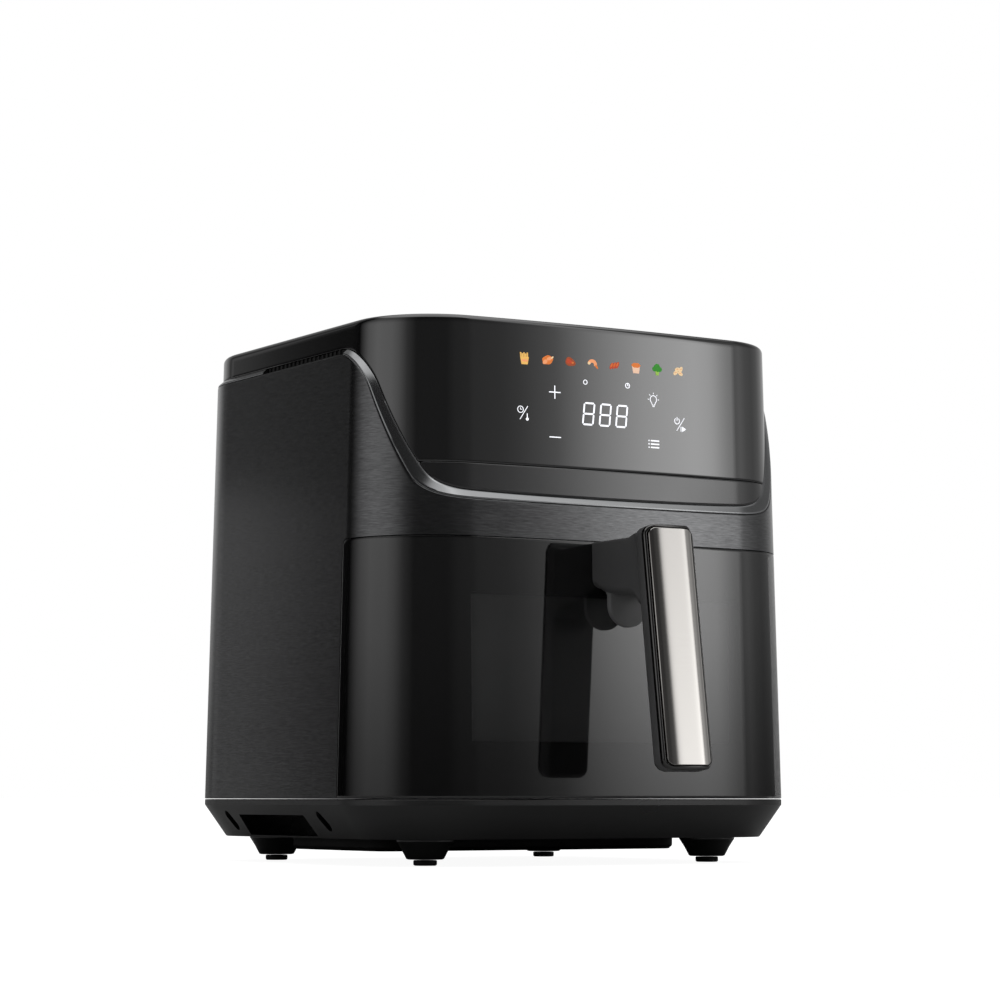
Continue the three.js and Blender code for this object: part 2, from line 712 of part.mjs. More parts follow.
// The bracket's outline as [distance in front of the body, distance below the drawer's top].
const bracketOutline = [[-30, 26.9], [1.85, 27.1], [8.75, 31.6], [17.75, 34], [29.55, 36.5], [37.65, 37.1],
  [50.65, 34.7], [50.65, -2.9], [44.15, -2.9], [35.65, 0.2], [-30, 0.2]];

function handleBody() {
  const turn = new THREE.Matrix4().makeRotationX(-handleTilt)
    .setPosition(0, handleFront, handleHeight);
  const place = (ring) => ring.map((p) => p.applyMatrix4(turn));
  const front = bezelDepth + 0.6 + gap;
  const grip = loft([gripRing(0.6, front), gripRing(0, front + 1), gripRing(0, handleThickness - 3),
    gripRing(2.6, handleThickness)].map(place));
  const bracket = sidePrism(bracketOutline.map(([out, down]) => [-endFace - out, drawerTop - down]),
    -bracketWidth / 2, bracketWidth / 2);
  return cut(join(bracket, grip), bodySolid(-gap, lipTop, bodyHeight), triggerPocket(),
    ...screwHoles(screwRadius + gap, -endFace - screwReach - gap));
}

function handleBezel() {
  return cut(gripLoft([0.9, 0.6], [0, 1.6], [0, bezelDepth + 0.6]),
    gripLoft([bezelBorder, -1], [bezelBorder, handleThickness]));
}

const handlePlate = () => gripLoft([bezelBorder + gap + 0.6, 0], [bezelBorder + gap, 0.6],
  [bezelBorder + gap, plateThickness]);

function tiltedHandleFace() {
  const group = new THREE.Group();
  group.position.set(0, handleFront, handleHeight);
  group.rotation.x = -handleTilt;
  group.add(piece('handle_bezel', handleBezel(), glossBlack),
    piece('handle_plate', handlePlate(), pearlNickel));
  return group;
}

function releaseTrigger() {
  const { front, height } = triggerPivot;
  const half = triggerWidth / 2;
  const outline = roundedRectangle(half, half, half - 0.5, 8).filter(([, v]) => v < 0);
  const ring = [[half, half], [-half, half], ...outline];
  const tab = loft([-1, 1].map((side) => ring.map(([x, v]) => new THREE.Vector3(x,
    front + side * triggerThickness / 2, v > 0 ? height : height - triggerLength + half + v))));
  return cut(join(tab, alongX(2.8, -half, half, front, height)),
    alongX(pinRadius + gap, -beyond, beyond, front, height));
}

const triggerPin = () =>
  alongX(pinRadius, -triggerWidth / 2, triggerWidth / 2, triggerPivot.front, triggerPivot.height, 12);

function handleScrews() {
  const skinBack = faceFront(screwHeight) + glassThickness + gap + frameWall + gap + 0.4;
  const shape = join(alongY(screwRadius, -endFace - screwReach, skinBack + 1, 0, screwHeight),
    alongY(screwHead, skinBack, skinBack + 2.6, 0, screwHeight));
  return [['left', -screwAcross], ['right', screwAcross]].map(([side, x]) => {
    const screw = piece(`handle_screw_${side}`, shape, steel);
    screw.position.x = x;
    return screw;
  });
}

// Drawer bay --------------------------------------------------------------------------------

function bayLiner() {
  const box = cut(bodySolid(bayInset, bayBottom, bayTop),
    bodySolid(bayInset + bayWall, bayBottom + bayWall, bayTop - bayWall),
    block(-beyond, beyond, -beyond, bayFront, 0, beyond));
  return cut(box, rod(chamberRadius, bayTop - 10, bayTop + 10, 48),
    rod(lampRadius + gap, bayTop - 10, bayTop + 10).translate(...lampPlace, 0));
}

function bayRail(side) {
  const x = side * railAcross;
  const low = bayBottom + bayWall + gap;
  return block(x - railWidth / 2, x + railWidth / 2, bayFront + 3, endFace - basketInset - 5,
    low, low + railHeight);
}

// The plastic frame round the drawer opening, between the shell and the bay, with a deck above.
function frontFrame() {
  const bottom = lipTop + gap;
  const top = bayTop + gap + deckThickness;
  const insideSkin = glassThickness + gap + frameWall + gap + 0.3;
  const ring = (inset, front) => bodySolid(inset, bottom, top)
    .intersect(block(-beyond, beyond, front, frameBack, 0, beyond));
  const mouth = basketHalfWidth + basketRim + mouthClearance;
  const deck = bodySolid(shellWall + gap, top - deckThickness, top)
    .intersect(block(-beyond, beyond, -beyond, frameBack, 0, beyond));
  const sides = cut(join(ring(insideSkin, basketFront + frameSetback),
    ring(shellWall + gap, drawerWrap + gap)),
    block(-mouth, mouth, -beyond, beyond, bottom + frameSill, top - deckThickness));
  return cut(join(sides, deck), rod(chamberRadius + chamberFlange + gap, bayTop - 10, beyond, 48));
}

function drawerSwitch() {
  const low = bayTop + gap + deckThickness + gap;
  const front = drawerPlateFront - 9;
  return join(block(-72, -52, front, front + 7, low, low + 12),
    block(-66, -62, front + 2, front + 5, low + 11, low + 14));
}

// Hot air chamber ---------------------------------------------------------------------------

function heatChamber() {
  const floor = bayTop + gap;
  const inner = chamberRadius;
  const outer = inner + chamberWall;
  const dome = turned([[inner, floor], [inner + chamberFlange, floor],
    [inner + chamberFlange, floor + chamberWall],
    [outer, floor + chamberWall], [outer, chamberTop - 7], [outer - 7, chamberTop], [8.5, chamberTop],
    [8.5, chamberTop - chamberWall], [inner - 6.5, chamberTop - chamberWall],
    [inner, chamberTop - 7.7]], 36);
  return cut(dome, ...terminalAngles.map((angle) => rod(rodRadius + 1.8, floor, beyond)
    .translate(terminalRadius * Math.cos(angle), terminalRadius * Math.sin(angle), 0)));
}

// Two rings joined by a bend, with both ends led outwards and up through the chamber's roof.
function heatingElement() {
  const at = (radius, degrees, z = elementHeight) => {
    const angle = THREE.MathUtils.degToRad(degrees);
    return new THREE.Vector3(radius * Math.cos(angle), radius * Math.sin(angle), z);
  };
  const end = chamberTop + 8;
  const points = [at(terminalRadius, 15, end), at(terminalRadius, 15, elementHeight + 16),
    at(terminalRadius - 1, 17, elementHeight + 4), at(elementOuter + 1, 24)];
  for (let degrees = 34; degrees <= 334; degrees += 15) points.push(at(elementOuter, degrees));
  points.push(at((elementOuter + elementInner) / 2, 343));
  for (let degrees = 334; degrees >= 24; degrees -= 15.5) points.push(at(elementInner, degrees));
  points.push(at(elementInner + 4, 10), at(terminalRadius - 9, 1),
    at(terminalRadius - 1, 0, elementHeight + 5),
    at(terminalRadius, 0, elementHeight + 16), at(terminalRadius, 0, end));
  const path = new THREE.CatmullRomCurve3(points, false, 'centripetal');
  const section = new THREE.Shape().absarc(0, 0, rodRadius, 0, 2 * Math.PI);
  return solid(new THREE.ExtrudeGeometry(section, { steps: 80, curveSegments: 4, extrudePath: path }));
}

function elementClip() {
  const strip = block(chamberRadius - 3, chamberRadius - 1.5, -4, 4,
    guardHeight + guardBar + gap, chamberTop - 9);
  const arm = block(elementOuter - 4, chamberRadius - 2, -4, 4,
    elementHeight + rodRadius + gap, elementHeight + rodRadius + gap + 1.5);
  return join(strip, arm);
}

function elementClips() {
  return Array.from({ length: clipCount }, (_, i) => {
    const clip = piece(`element_clip_${i + 1}`, elementClip(), steel);
    clip.rotation.z = Math.PI / 2 + i * 2 * Math.PI / clipCount;
    return clip;
  });
}

function elementGuard() {
  const top = guardHeight + guardBar;
  const ring = (radius) => turned([[radius, guardHeight], [radius + guardBar, guardHeight],
    [radius + guardBar, top], [radius, top]], 28);
  const outer = chamberRadius - 6;
  const bar = block(-outer - 1, outer + 1, -guardBar / 2, guardBar / 2, guardHeight, top);
  const bars = [0, 1, 2].map((i) => bar
    .rotate([0, 0, 60 * i]));
  return join(ring(outer), ring(outer * 0.66), ring(outer * 0.33), ...bars);
}

// Motor and fans ----------------------------------------------------------------------------

function motorBracket() {
  const top = motorBottom - gap;
  const { halfWidth, halfDepth, leg } = bracketPlate;
  const legs = [-1, 1].flatMap((sx) => [-1, 1].map((sy) =>
    block(-leg, leg, -leg, leg, chamberTop + gap, top)
      .translate(sx * (halfWidth - leg - 2), sy * (halfDepth - leg - 2), 0)));
  const plate = block(-halfWidth, halfWidth, -halfDepth, halfDepth, top - 2, top);
  return cut(join(plate, ...legs), rod(14, 0, beyond));
}

function motor() {
  const bore = shaftRadius + gap + 0.2;
  return turned([[bore, motorBottom], [motorRadius - 2, motorBottom], [motorRadius, motorBottom + 2],
    [motorRadius, motorTop - 4], [motorRadius - 8, motorTop], [bore, motorTop]], 32);
}

function motorShaft() {
  const low = hotFanBottom - 4;
  const shoulder = hotFanBottom - gap;
  const top = coolFanBottom + coolFan.height + 3;
  const washer = shaftRadius + 2;
  return turned([[0, low], [washer, low], [washer, shoulder], [shaftRadius, shoulder],
    [shaftRadius, top], [0, top]], 20);
}

// A fan with flat blades set on edge or at a pitch, on a hub that the shaft passes through.
function fan({ height, blades, hub, blade }, radius, bottom, pitch, disc) {
  const top = bottom + height;
  const middle = (bottom + top) / 2;
  const parts = [rod(hub, bottom, top, 24)];
  if (disc) parts.push(rod(radius, top - 1.4, top, 40));
  for (let i = 0; i < blades; i += 1) {
    const vane = block(hub - 2, radius, -blade / 2, blade / 2, 0.2 - height / 2, height / 2 - 0.2);
    parts.push(vane.rotate([pitch, 0, 0]).translate(0, 0, middle).rotate([0, 0, 360 * i / blades]));
  }
  return cut(join(...parts), rod(shaftRadius + gap, bottom - 5, top + 5));
}

// Electrics ---------------------------------------------------------------------------------

const boardFront = faceFront(displayWindow.top) + frontBow + skirtInset + skirtWall + 2;

const controlBoard = () => block(-displayWindow.halfWidth + 2, displayWindow.halfWidth - 2,
  boardFront, boardFront + 1.6, displayWindow.bottom + 1, displayWindow.top - 1);

const displayModule = () => block(-24, 20, boardFront - gap - 3.2, boardFront - gap,
  displayWindow.bottom + 11, displayWindow.top - 28);

function powerBoard() {
  const low = chamberTop + 5;
  const left = skirtInset + skirtWall + lean(low) + 5.8 - sideFace;
  const right = -bracketPlate.halfWidth - 6;
  const middle = (left + right) / 2;
  return join(block(left, right, -50, 50, low, low + 1.6),
    block(left + 3, middle - 2, -38, -12, low + 1, low + 24),
    block(left + 3, middle - 4, 0, 18, low + 1, low + 18),
    block(middle + 4, right - 3, -40, 30, low + 1, low + 12));
}

// Assembly ----------------------------------------------------------------------------------

function fixedParts() {
  return [
    piece('base_tray', baseTray(), matteBlack),
    piece('bottom_plate', bottomPlate(), matteBlack),
    ...feet(),
    piece('outer_shell', outerShell(), brushedDark),
    piece('upper_housing', upperHousing(), glossBlack),
    piece('control_panel', controlPanel(), glossBlack),
    piece('panel_strip', panelStrip(), satinGrey),
    piece('top_plate', topPlate(), glossBlack),
    piece('trim_front', trimBand(-beyond, trimFrontEnd, trimInset), brightTrim),
    piece('trim_rear', trimBand(trimRearEnd, beyond, trimInset), brightTrim),
    piece('air_inlet_left', airInlet('left'), matteBlack),
    piece('air_inlet_right', airInlet('right'), matteBlack),
    piece('exhaust_grille', exhaustGrille(), matteBlack),
    piece('exhaust_duct', exhaustDuct(), steel),
    piece('cord_inlet', cordInlet(), matteBlack),
    piece('front_frame', frontFrame(), matteBlack),
    piece('bay_liner', bayLiner(), steel),
    piece('bay_rail_left', bayRail(-1), satinGrey),
    piece('bay_rail_right', bayRail(1), satinGrey),
    piece('heat_chamber', heatChamber(), steel),
    piece('heating_element', heatingElement(), steel),
    ...elementClips(),
    piece('element_guard', elementGuard(), steel),
    piece('motor_bracket', motorBracket(), steel),
    piece('motor', motor(), steel),
    piece('lamp_socket',
      rod(lampRadius - 0.5, bayTop + gap + 0.6, bayTop + 16).translate(...lampPlace, 0), ceramic),
    piece('lamp_lens', rod(lampRadius, bayTop - 3, bayTop + gap).translate(...lampPlace, 0), glass),
    piece('drawer_switch', drawerSwitch(), matteBlack),
    piece('control_board', controlBoard(), circuit),
    piece('display_module', displayModule(), satinGrey),
    piece('power_board', powerBoard(), circuit),
  ];
}

const rotorParts = () => [
  piece('motor_shaft', motorShaft(), steel),
  piece('hot_air_fan', fan(hotFan, hotFanRadius, hotFanBottom, 0, true), steel),
  piece('cooling_fan', fan(coolFan, coolFan.radius, coolFanBottom, coolFanPitch, false), satinGrey),
];

function drawerParts() {
  return [
    piece('drawer_glass', drawerGlass(), glossBlack),
    piece('drawer_frame', drawerFrame(), matteBlack),
    piece('window_pane', windowPane(), glass),
    piece('window_gasket', windowGasket(), silicone),
    piece('basket', basket(), nonStick),
    piece('basket_window', basketGlass(), glass),
    piece('handle_body', handleBody(), satinGrey),
    tiltedHandleFace(),
    ...handleScrews(),
    piece('trigger_pin', triggerPin(), steel),
    piece('release_trigger', releaseTrigger(), satinGrey),
    piece('crisper_plate', crisperPlate(), nonStick),
    ...crisperBumpers(),
  ];
}

const airFryer = new THREE.Group();
airFryer.add(...fixedParts(), ...rotorParts(), ...drawerParts());
const footprint = new THREE.Box3().setFromObject(airFryer, true);
airFryer.position.y = -footprint.getCenter(new THREE.Vector3()).y;

export default airFryer;
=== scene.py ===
import math

import bmesh
import bpy
from bpy.props import FloatProperty, FloatVectorProperty, IntProperty, PointerProperty
from mathutils import Matrix, Vector


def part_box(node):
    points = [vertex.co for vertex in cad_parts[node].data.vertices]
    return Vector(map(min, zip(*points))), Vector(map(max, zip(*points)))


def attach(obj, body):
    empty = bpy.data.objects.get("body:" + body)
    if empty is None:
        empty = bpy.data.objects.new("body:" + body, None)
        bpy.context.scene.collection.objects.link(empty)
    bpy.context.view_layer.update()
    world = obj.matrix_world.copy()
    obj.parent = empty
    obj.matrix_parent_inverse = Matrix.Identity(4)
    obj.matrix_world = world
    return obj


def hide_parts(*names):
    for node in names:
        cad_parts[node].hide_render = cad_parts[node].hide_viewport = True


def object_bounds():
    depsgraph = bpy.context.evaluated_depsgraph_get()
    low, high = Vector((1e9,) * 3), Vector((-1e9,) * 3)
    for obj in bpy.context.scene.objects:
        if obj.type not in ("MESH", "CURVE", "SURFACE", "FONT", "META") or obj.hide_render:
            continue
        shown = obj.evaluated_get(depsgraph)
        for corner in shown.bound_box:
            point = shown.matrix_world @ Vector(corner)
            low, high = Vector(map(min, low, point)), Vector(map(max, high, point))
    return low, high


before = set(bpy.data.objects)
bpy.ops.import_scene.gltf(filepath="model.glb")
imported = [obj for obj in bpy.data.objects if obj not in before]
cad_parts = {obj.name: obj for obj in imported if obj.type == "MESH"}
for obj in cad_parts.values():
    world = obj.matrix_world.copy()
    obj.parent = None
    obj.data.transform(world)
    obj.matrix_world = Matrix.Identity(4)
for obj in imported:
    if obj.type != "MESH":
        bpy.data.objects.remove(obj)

bl_info = {
    "name": "Air fryer",
    "version": (1, 0, 0),
    "blender": (4, 5, 0),
    "location": "View3D > Sidebar > Air fryer",
    "description": "Builds the visible pieces of a basket air fryer round its packed frame",
    "category": "Object",
}

MM = 0.001
CAD_BOX = [list(corner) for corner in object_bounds()]
TRAY_LOW, TRAY_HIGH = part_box("base_tray")
FRONT_BOW = 3.0  # millimetres that the middle of the front stands proud of its corners
# How far the body's own centre lies behind the middle of the footprint, in millimetres.
BODY_SHIFT = (TRAY_LOW.y + TRAY_HIGH.y) / 2 / MM + FRONT_BOW / 2
ROW_FRAME = Matrix.Translation((0, BODY_SHIFT * MM, 0)) @ Matrix.Scale(MM, 4)


# Sizes and colours ---------------------------------------------------------------------------

def length(name, description, millimetres):
    return FloatProperty(name=name, description=description, default=millimetres * MM,
                         min=0.0, unit="LENGTH", precision=5)


def colour(name, description, red, green, blue):
    return FloatVectorProperty(name=name, description=description, subtype="COLOR", size=4,
                               default=(red, green, blue, 1.0), min=0.0, max=1.0)


class FryerBodySizes(bpy.types.PropertyGroup):
    width: length("Width", "Across the lip of the base", (TRAY_HIGH.x - TRAY_LOW.x) / MM)
    depth: length("Depth", "Back face to the ends of the bowed front",
                  (TRAY_HIGH.y - TRAY_LOW.y) / MM - FRONT_BOW)
    height: length("Height", "Floor to the top plate", CAD_BOX[1][2] / MM)
    front_bow: length("Front bow", "How far the middle of the front stands proud", FRONT_BOW)
    front_corner: length("Front corner", "Radius of the front corners in plan", 56.7)
    rear_corner: length("Rear corner", "Radius of the rear corners in plan", 61.5)
    lean: FloatProperty(name="Wall lean", description="How far each wall leans in",
                        default=math.radians(1.27), subtype="ANGLE")
    wall: length("Shell wall", "Thickness of the outer shell", 2.4)
    lip_top: length("Lip", "Top of the base's lip", 36.0)


class FryerShoulderSizes(bpy.types.PropertyGroup):
    high: length("High edge", "Shell edge at the sides and back, below the top", 21.0)
    low: length("Low edge", "Shell edge at the front, below the top", 105.5)
    setback: length("Setback", "Where the line starts to fall, behind the front corners", 73.8)
    crown: length("Crown", "Radius at the top of the shoulder line", 35.0)
    sweep: length("Sweep", "Radius at the bottom of the shoulder line", 26.0)
    slope: FloatProperty(name="Slope", description="Steepest part of the shoulder line",
                         default=math.radians(66.3), subtype="ANGLE")
    clearance: length("Trim gap", "Shell edge to the metal trim", 2.6)
    trim: length("Trim height", "Height of the metal trim", 3.1)


class FryerDetailSizes(bpy.types.PropertyGroup):
    panel_inset: length("Panel inset", "Panel behind the shell's face", 3.1)
    strip: length("Strip", "Height of the satin strip under the panel", 23.5)
    glass: length("Glass", "Thickness of the drawer's front", 3.0)
    handle_width: length("Handle width", "Across the grip", 32.0)
    handle_length: length("Handle length", "Along the grip", 133.0)
    handle_depth: length("Handle depth", "Through the grip", 15.0)
    handle_tilt: FloatProperty(name="Handle tilt", description="Foot of the grip forward",
                               default=math.radians(8), subtype="ANGLE")
    louvres: IntProperty(name="Louvres", description="Bars across the exhaust grille",
                         default=6, min=1)
    crisper_columns: IntProperty(name="Crisper columns", description="Slots across the plate",
                                 default=7, min=1)
    crisper_rows: IntProperty(name="Crisper rows", description="Slots along the plate",
                              default=5, min=1)


class FryerColours(bpy.types.PropertyGroup):
    shell: colour("Shell", "Dark brushed metal", 0.147, 0.148, 0.151)
    gloss: colour("Gloss", "Black panel, top and drawer front", 0.004, 0.004, 0.0045)
    plastic: colour("Plastic", "Moulded black plastic", 0.006, 0.006, 0.0065)
    strip: colour("Strip", "Satin strip under the panel", 0.016, 0.016, 0.017)
    handle: colour("Handle", "Satin grey of the handle's body", 0.12, 0.12, 0.122)
    trigger: colour("Trigger", "Lighter grey of the release trigger", 0.26, 0.26, 0.263)
    bezel: colour("Bezel", "Black chrome round the handle's plate", 0.14, 0.138, 0.136)
    nickel: colour("Nickel", "Warm pearl nickel of the handle's plate", 0.49, 0.473, 0.453)
    trim: colour("Trim", "Grey metal trim", 0.33, 0.335, 0.34)
    steel: colour("Steel", "Bare steel inside", 0.46, 0.46, 0.47)
    coating: colour("Coating", "Non-stick coating", 0.02, 0.02, 0.021)
    rubber: colour("Rubber", "Pads and bumpers", 0.02, 0.02, 0.021)


PROPERTY_GROUPS = {
    "fryer_body": FryerBodySizes,
    "fryer_shoulder": FryerShoulderSizes,
    "fryer_details": FryerDetailSizes,
    "fryer_colours": FryerColours,
}


def details():
    return bpy.context.scene.fryer_details


def colours():
    return bpy.context.scene.fryer_colours


# The body's outer surface --------------------------------------------------------------------

class Body:
    """Plan outline, leaning walls and shoulder line, in millimetres about the body's centre."""

    def __init__(self):
        sizes = bpy.context.scene.fryer_body
        shoulder = bpy.context.scene.fryer_shoulder
        self.side = sizes.width / MM / 2
        self.end = sizes.depth / MM / 2
        self.top = sizes.height / MM
        self.bow = sizes.front_bow / MM
        self.front_corner = sizes.front_corner / MM
        self.rear_corner = sizes.rear_corner / MM
        self.slant = math.tan(sizes.lean)
        self.wall = sizes.wall / MM
        self.lip = sizes.lip_top / MM
        self.high = self.top - shoulder.high / MM
        self.low = self.top - shoulder.low / MM
        self.clearance = shoulder.clearance / MM
        self.trim = shoulder.trim / MM
        self.crown = shoulder.crown / MM
        self.sweep = shoulder.sweep / MM
        self.slope = shoulder.slope
        self.start = shoulder.setback / MM - self.end
        self._plan()
        self._lines = {}

    def _plan(self):
        """The outline in plan as straight runs and arcs, round from the middle of the back."""
        side, end = self.side, self.end
        front, rear = self.front_corner, self.rear_corner
        across, along = side - front, end - front
        radius = (across ** 2 + self.bow ** 2) / (2 * self.bow) + front
        turn = math.asin(across / (radius - front))
        half, full = math.pi / 2, 2 * math.pi
        self.bow_radius = radius
        self.runs = [
            ("line", (0, end), (rear - side, end), (0, 1)),
            ("arc", (rear - side, end - rear), rear, half, math.pi),
            ("line", (-side, end - rear), (-side, -along), (-1, 0)),
            ("arc", (-across, -along), front, math.pi, 3 * half - turn),
            ("arc", (0, radius - end - self.bow), radius, 3 * half - turn, 3 * half + turn),
            ("arc", (across, -along), front, 3 * half + turn, full),
            ("line", (side, -along), (side, end - rear), (1, 0)),
            ("arc", (side - rear, end - rear), rear, full, full + half),
            ("line", (side - rear, end), (0, end), (0, 1)),
        ]
        self.lengths = []
        for run in self.runs:
            if run[0] == "line":
                self.lengths.append(math.dist(run[1], run[2]))
            else:
                self.lengths.append(run[2] * (run[4] - run[3]))
        self.around = sum(self.lengths)

    def at(self, distance):
        """(x, y, normal x, normal y) that far round the outline."""
        distance %= self.around
        for run, span in zip(self.runs, self.lengths):
            if distance <= span + 1e-9:
                share = distance / span
                if run[0] == "line":
                    (x0, y0), (x1, y1), (nx, ny) = run[1:]
                    return x0 + (x1 - x0) * share, y0 + (y1 - y0) * share, nx, ny
                angle = run[3] + (run[4] - run[3]) * share
                nx, ny = math.cos(angle), math.sin(angle)
                return run[1][0] + run[2] * nx, run[1][1] + run[2] * ny, nx, ny
            distance -= span
        return self.at(0)

    def side_at(self, y, sign):
        """Distance round the outline of a place on the flat side (sign -1 left, 1 right)."""
        if sign < 0:
            return sum(self.lengths[:2]) + (self.end - self.rear_corner - y)
        return sum(self.lengths[:6]) + (y + self.end - self.front_corner)

    def stops(self, first=0.0, last=None, extra=(), step=2.2):
        """Distances from first to last round the outline, closer together than step."""
        last = self.around if last is None else last
        marks = {first, last, *extra}
        place = 0.0
        for span in self.lengths:
            count = max(1, math.ceil(span / step))
            for i in range(count + 1):
                marks.add(place + span * i / count)
            place += span
        kept = []
        for mark in sorted(m for m in marks if first - 1e-6 <= m <= last + 1e-6):
            if not kept or mark - kept[-1] > 0.02:
                kept.append(mark)
        return kept

    def inward(self, z):
        return (z - self.lip) * self.slant

    def spot(self, column, inset, z):
        """A point set in from the leaning face."""
        x, y, nx, ny = column
        depth = inset + self.inward(z)
        return Vector((x - nx * depth, y - ny * depth, z))

    def upright(self, column, inset, z):
        """A point set in from the outline at the lip, with no lean."""
        x, y, nx, ny = column
        return Vector((x - nx * inset, y - ny * inset, z))

    def line_height(self, y, offset):
        """Height of the shoulder line over y, moved outwards from the shell by offset."""
        if offset not in self._lines:
            crown, sweep = self.crown + offset, self.sweep - offset
            both = self.crown + self.sweep
            drop = self.high - self.low - both * (1 - math.cos(self.slope))
            run = drop / math.tan(self.slope) + both * math.sin(self.slope)
            self._lines[offset] = (crown, sweep, self.start - run)
        crown, sweep, foot = self._lines[offset]
        sine = math.sin(self.slope)
        crown_end = self.start - crown * sine
        sweep_end = foot + sweep * sine
        if y >= self.start:
            return self.high + offset
        if y >= crown_end:
            return self.high - self.crown + math.sqrt(crown ** 2 - (self.start - y) ** 2)
        if y > sweep_end:
            top = self.high - self.crown + crown * math.cos(self.slope)
            return top - (crown_end - y) * math.tan(self.slope)
        if y > foot:
            return self.low + self.sweep - math.sqrt(sweep ** 2 - (y - foot) ** 2)
        return self.low + offset

    def edge(self, column, inset, offset):
        """Height where the wall at that inset meets the shoulder line."""
        z = self.low
        for _ in range(12):
            y = self.spot(column, inset, z).y
            z = self.line_height(y, offset)
        return z

    def front_y(self, x, z, inset):
        """The bowed front's face over x and z."""
        radius = self.bow_radius - inset - self.inward(z)
        return self.bow_radius - self.end - self.bow - math.sqrt(radius ** 2 - x ** 2)

    def rear_y(self, z):
        return self.end - self.inward(z)


# Mesh making ---------------------------------------------------------------------------------

def grid(bm, rows, ring=False, caps=True):
    """Faces between closed sections; ring joins the last section to the first."""
    verts = [[bm.verts.new(point) for point in row] for row in rows]
    count = len(rows[0])
    pairs = list(zip(verts, verts[1:]))
    if ring:
        pairs.append((verts[-1], verts[0]))
    for first, second in pairs:
        for i in range(count):
            j = (i + 1) % count
            bm.faces.new((first[i], first[j], second[j], second[i]))
    if caps and not ring:
        bm.faces.new(list(reversed(verts[0])))
        bm.faces.new(verts[-1])
    return verts


def loft(rings, ring=False):
    """A closed solid through sections, with flat ends or joined last to first."""
    bm = bmesh.new()
    grid(bm, rings, ring)
    return bm


def prism(outline, axis, low, high):
    """A 2D outline stretched along an axis: outline pairs are (y, z), (x, z) or (x, y)."""
    place = {
        "x": lambda a, b, t: (t, a, b),
        "y": lambda a, b, t: (a, t, b),
        "z": lambda a, b, t: (a, b, t),
    }[axis]
    return loft([[Vector(place(a, b, t)) for a, b in outline] for t in (low, high)])


def turned(profile, steps=48, centre=(0, 0), turn=None):
    """A closed profile of (radius, height) pairs turned about Z, or about what turn makes of Z."""
    x0, y0 = centre
    rings = []
    for radius, z in profile:
        radius = max(radius, 0.01)
        ring = [Vector((x0 + radius * math.cos(2 * math.pi * i / steps),
                        y0 + radius * math.sin(2 * math.pi * i / steps), z)) for i in range(steps)]
        rings.append(ring)
    bm = loft(rings)
    if turn is not None:
        bmesh.ops.transform(bm, matrix=turn, verts=bm.verts)
    return bm


def rounded(half_u, half_v, radius, steps=10, centre=(0, 0)):
    """Corner points of a rounded rectangle, counter-clockwise."""
    points = []
    for corner in range(4):
        u = (1 if corner in (0, 3) else -1) * (half_u - radius)
        v = (1 if corner < 2 else -1) * (half_v - radius)
        for step in range(steps + 1):
            angle = (corner + step / steps) * math.pi / 2
            points.append((centre[0] + u + radius * math.cos(angle),
                           centre[1] + v + radius * math.sin(angle)))
    return points


def joined(*parts):
    """Several meshes in one, each still closed in itself."""
    bm = bmesh.new()
    for part in parts:
        mesh = bpy.data.meshes.new("part")
        part.to_mesh(mesh)
        part.free()
        bm.from_mesh(mesh)
        bpy.data.meshes.remove(mesh)
    return bm


def to_object(bm, name):
    """The mesh as an object in the row frame, with welded points and faces turned outwards."""
    bmesh.ops.remove_doubles(bm, verts=bm.verts, dist=1e-3)
    bmesh.ops.recalc_face_normals(bm, faces=bm.faces)
    bmesh.ops.transform(bm, matrix=ROW_FRAME, verts=bm.verts)
    return new_object(bm, name)


def new_object(bm, name):
    mesh = bpy.data.meshes.new(name)
    bm.to_mesh(mesh)
    bm.free()
    obj = bpy.data.objects.new(name, mesh)
    bpy.context.scene.collection.objects.link(obj)
    return obj


def baked(obj):
    """Replaces the object's mesh by what its modifiers make of it, and removes them."""
    bpy.context.view_layer.update()
    graph = bpy.context.evaluated_depsgraph_get()
    mesh = bpy.data.meshes.new_from_object(obj.evaluated_get(graph), depsgraph=graph)
    obj.modifiers.clear()
    old = obj.data
    obj.data = mesh
    mesh.name = old.name
    bpy.data.meshes.remove(old)
    return obj


def combine(obj, operation, tools):
    """Cuts tools from the object, or adds them to it."""
    for tool in tools:
        other = to_object(tool, "tool")
        step = obj.modifiers.new("combine", "BOOLEAN")
        step.operation = operation
        step.solver = "EXACT"
        step.object = other
        baked(obj)
        bpy.data.objects.remove(other)
    return obj


def smooth(obj, angle=32):
    obj.data.shade_smooth()
    obj.data.set_sharp_from_angle(angle=math.radians(angle))


def round_edges(obj, width, angle=40, segments=2):
    step = obj.modifiers.new("rounded edges", "BEVEL")
    step.width = width * MM
    step.segments = segments
    step.limit_method = "ANGLE"
    step.angle_limit = math.radians(angle)
    step.use_clamp_overlap = True
    step.harden_normals = False
    return baked(obj)


def settle(obj, material, body, nodes=(), angle=32):
    """Gives a finished piece its surface, body, material slot and the nodes it stands for."""
    smooth(obj, angle)
    if material is not None:
        obj.data.materials.clear()
        obj.data.materials.append(material)
    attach(obj, body)
    if nodes:
        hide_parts(*nodes)
    return obj


def refined(node, name, width=0.3, angle=40):
    """A welded copy of a CAD node with small rounds on its edges."""
    bm = bmesh.new()
    bm.from_mesh(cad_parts[node].data)
    bmesh.ops.remove_doubles(bm, verts=bm.verts, dist=2e-6)
    bmesh.ops.dissolve_limit(bm, angle_limit=math.radians(0.6), verts=bm.verts, edges=bm.edges)
    obj = new_object(bm, name)
    if width:
        round_edges(obj, width, angle)
    return obj


# Geometry Nodes: rows of bars and rows of slots ----------------------------------------------

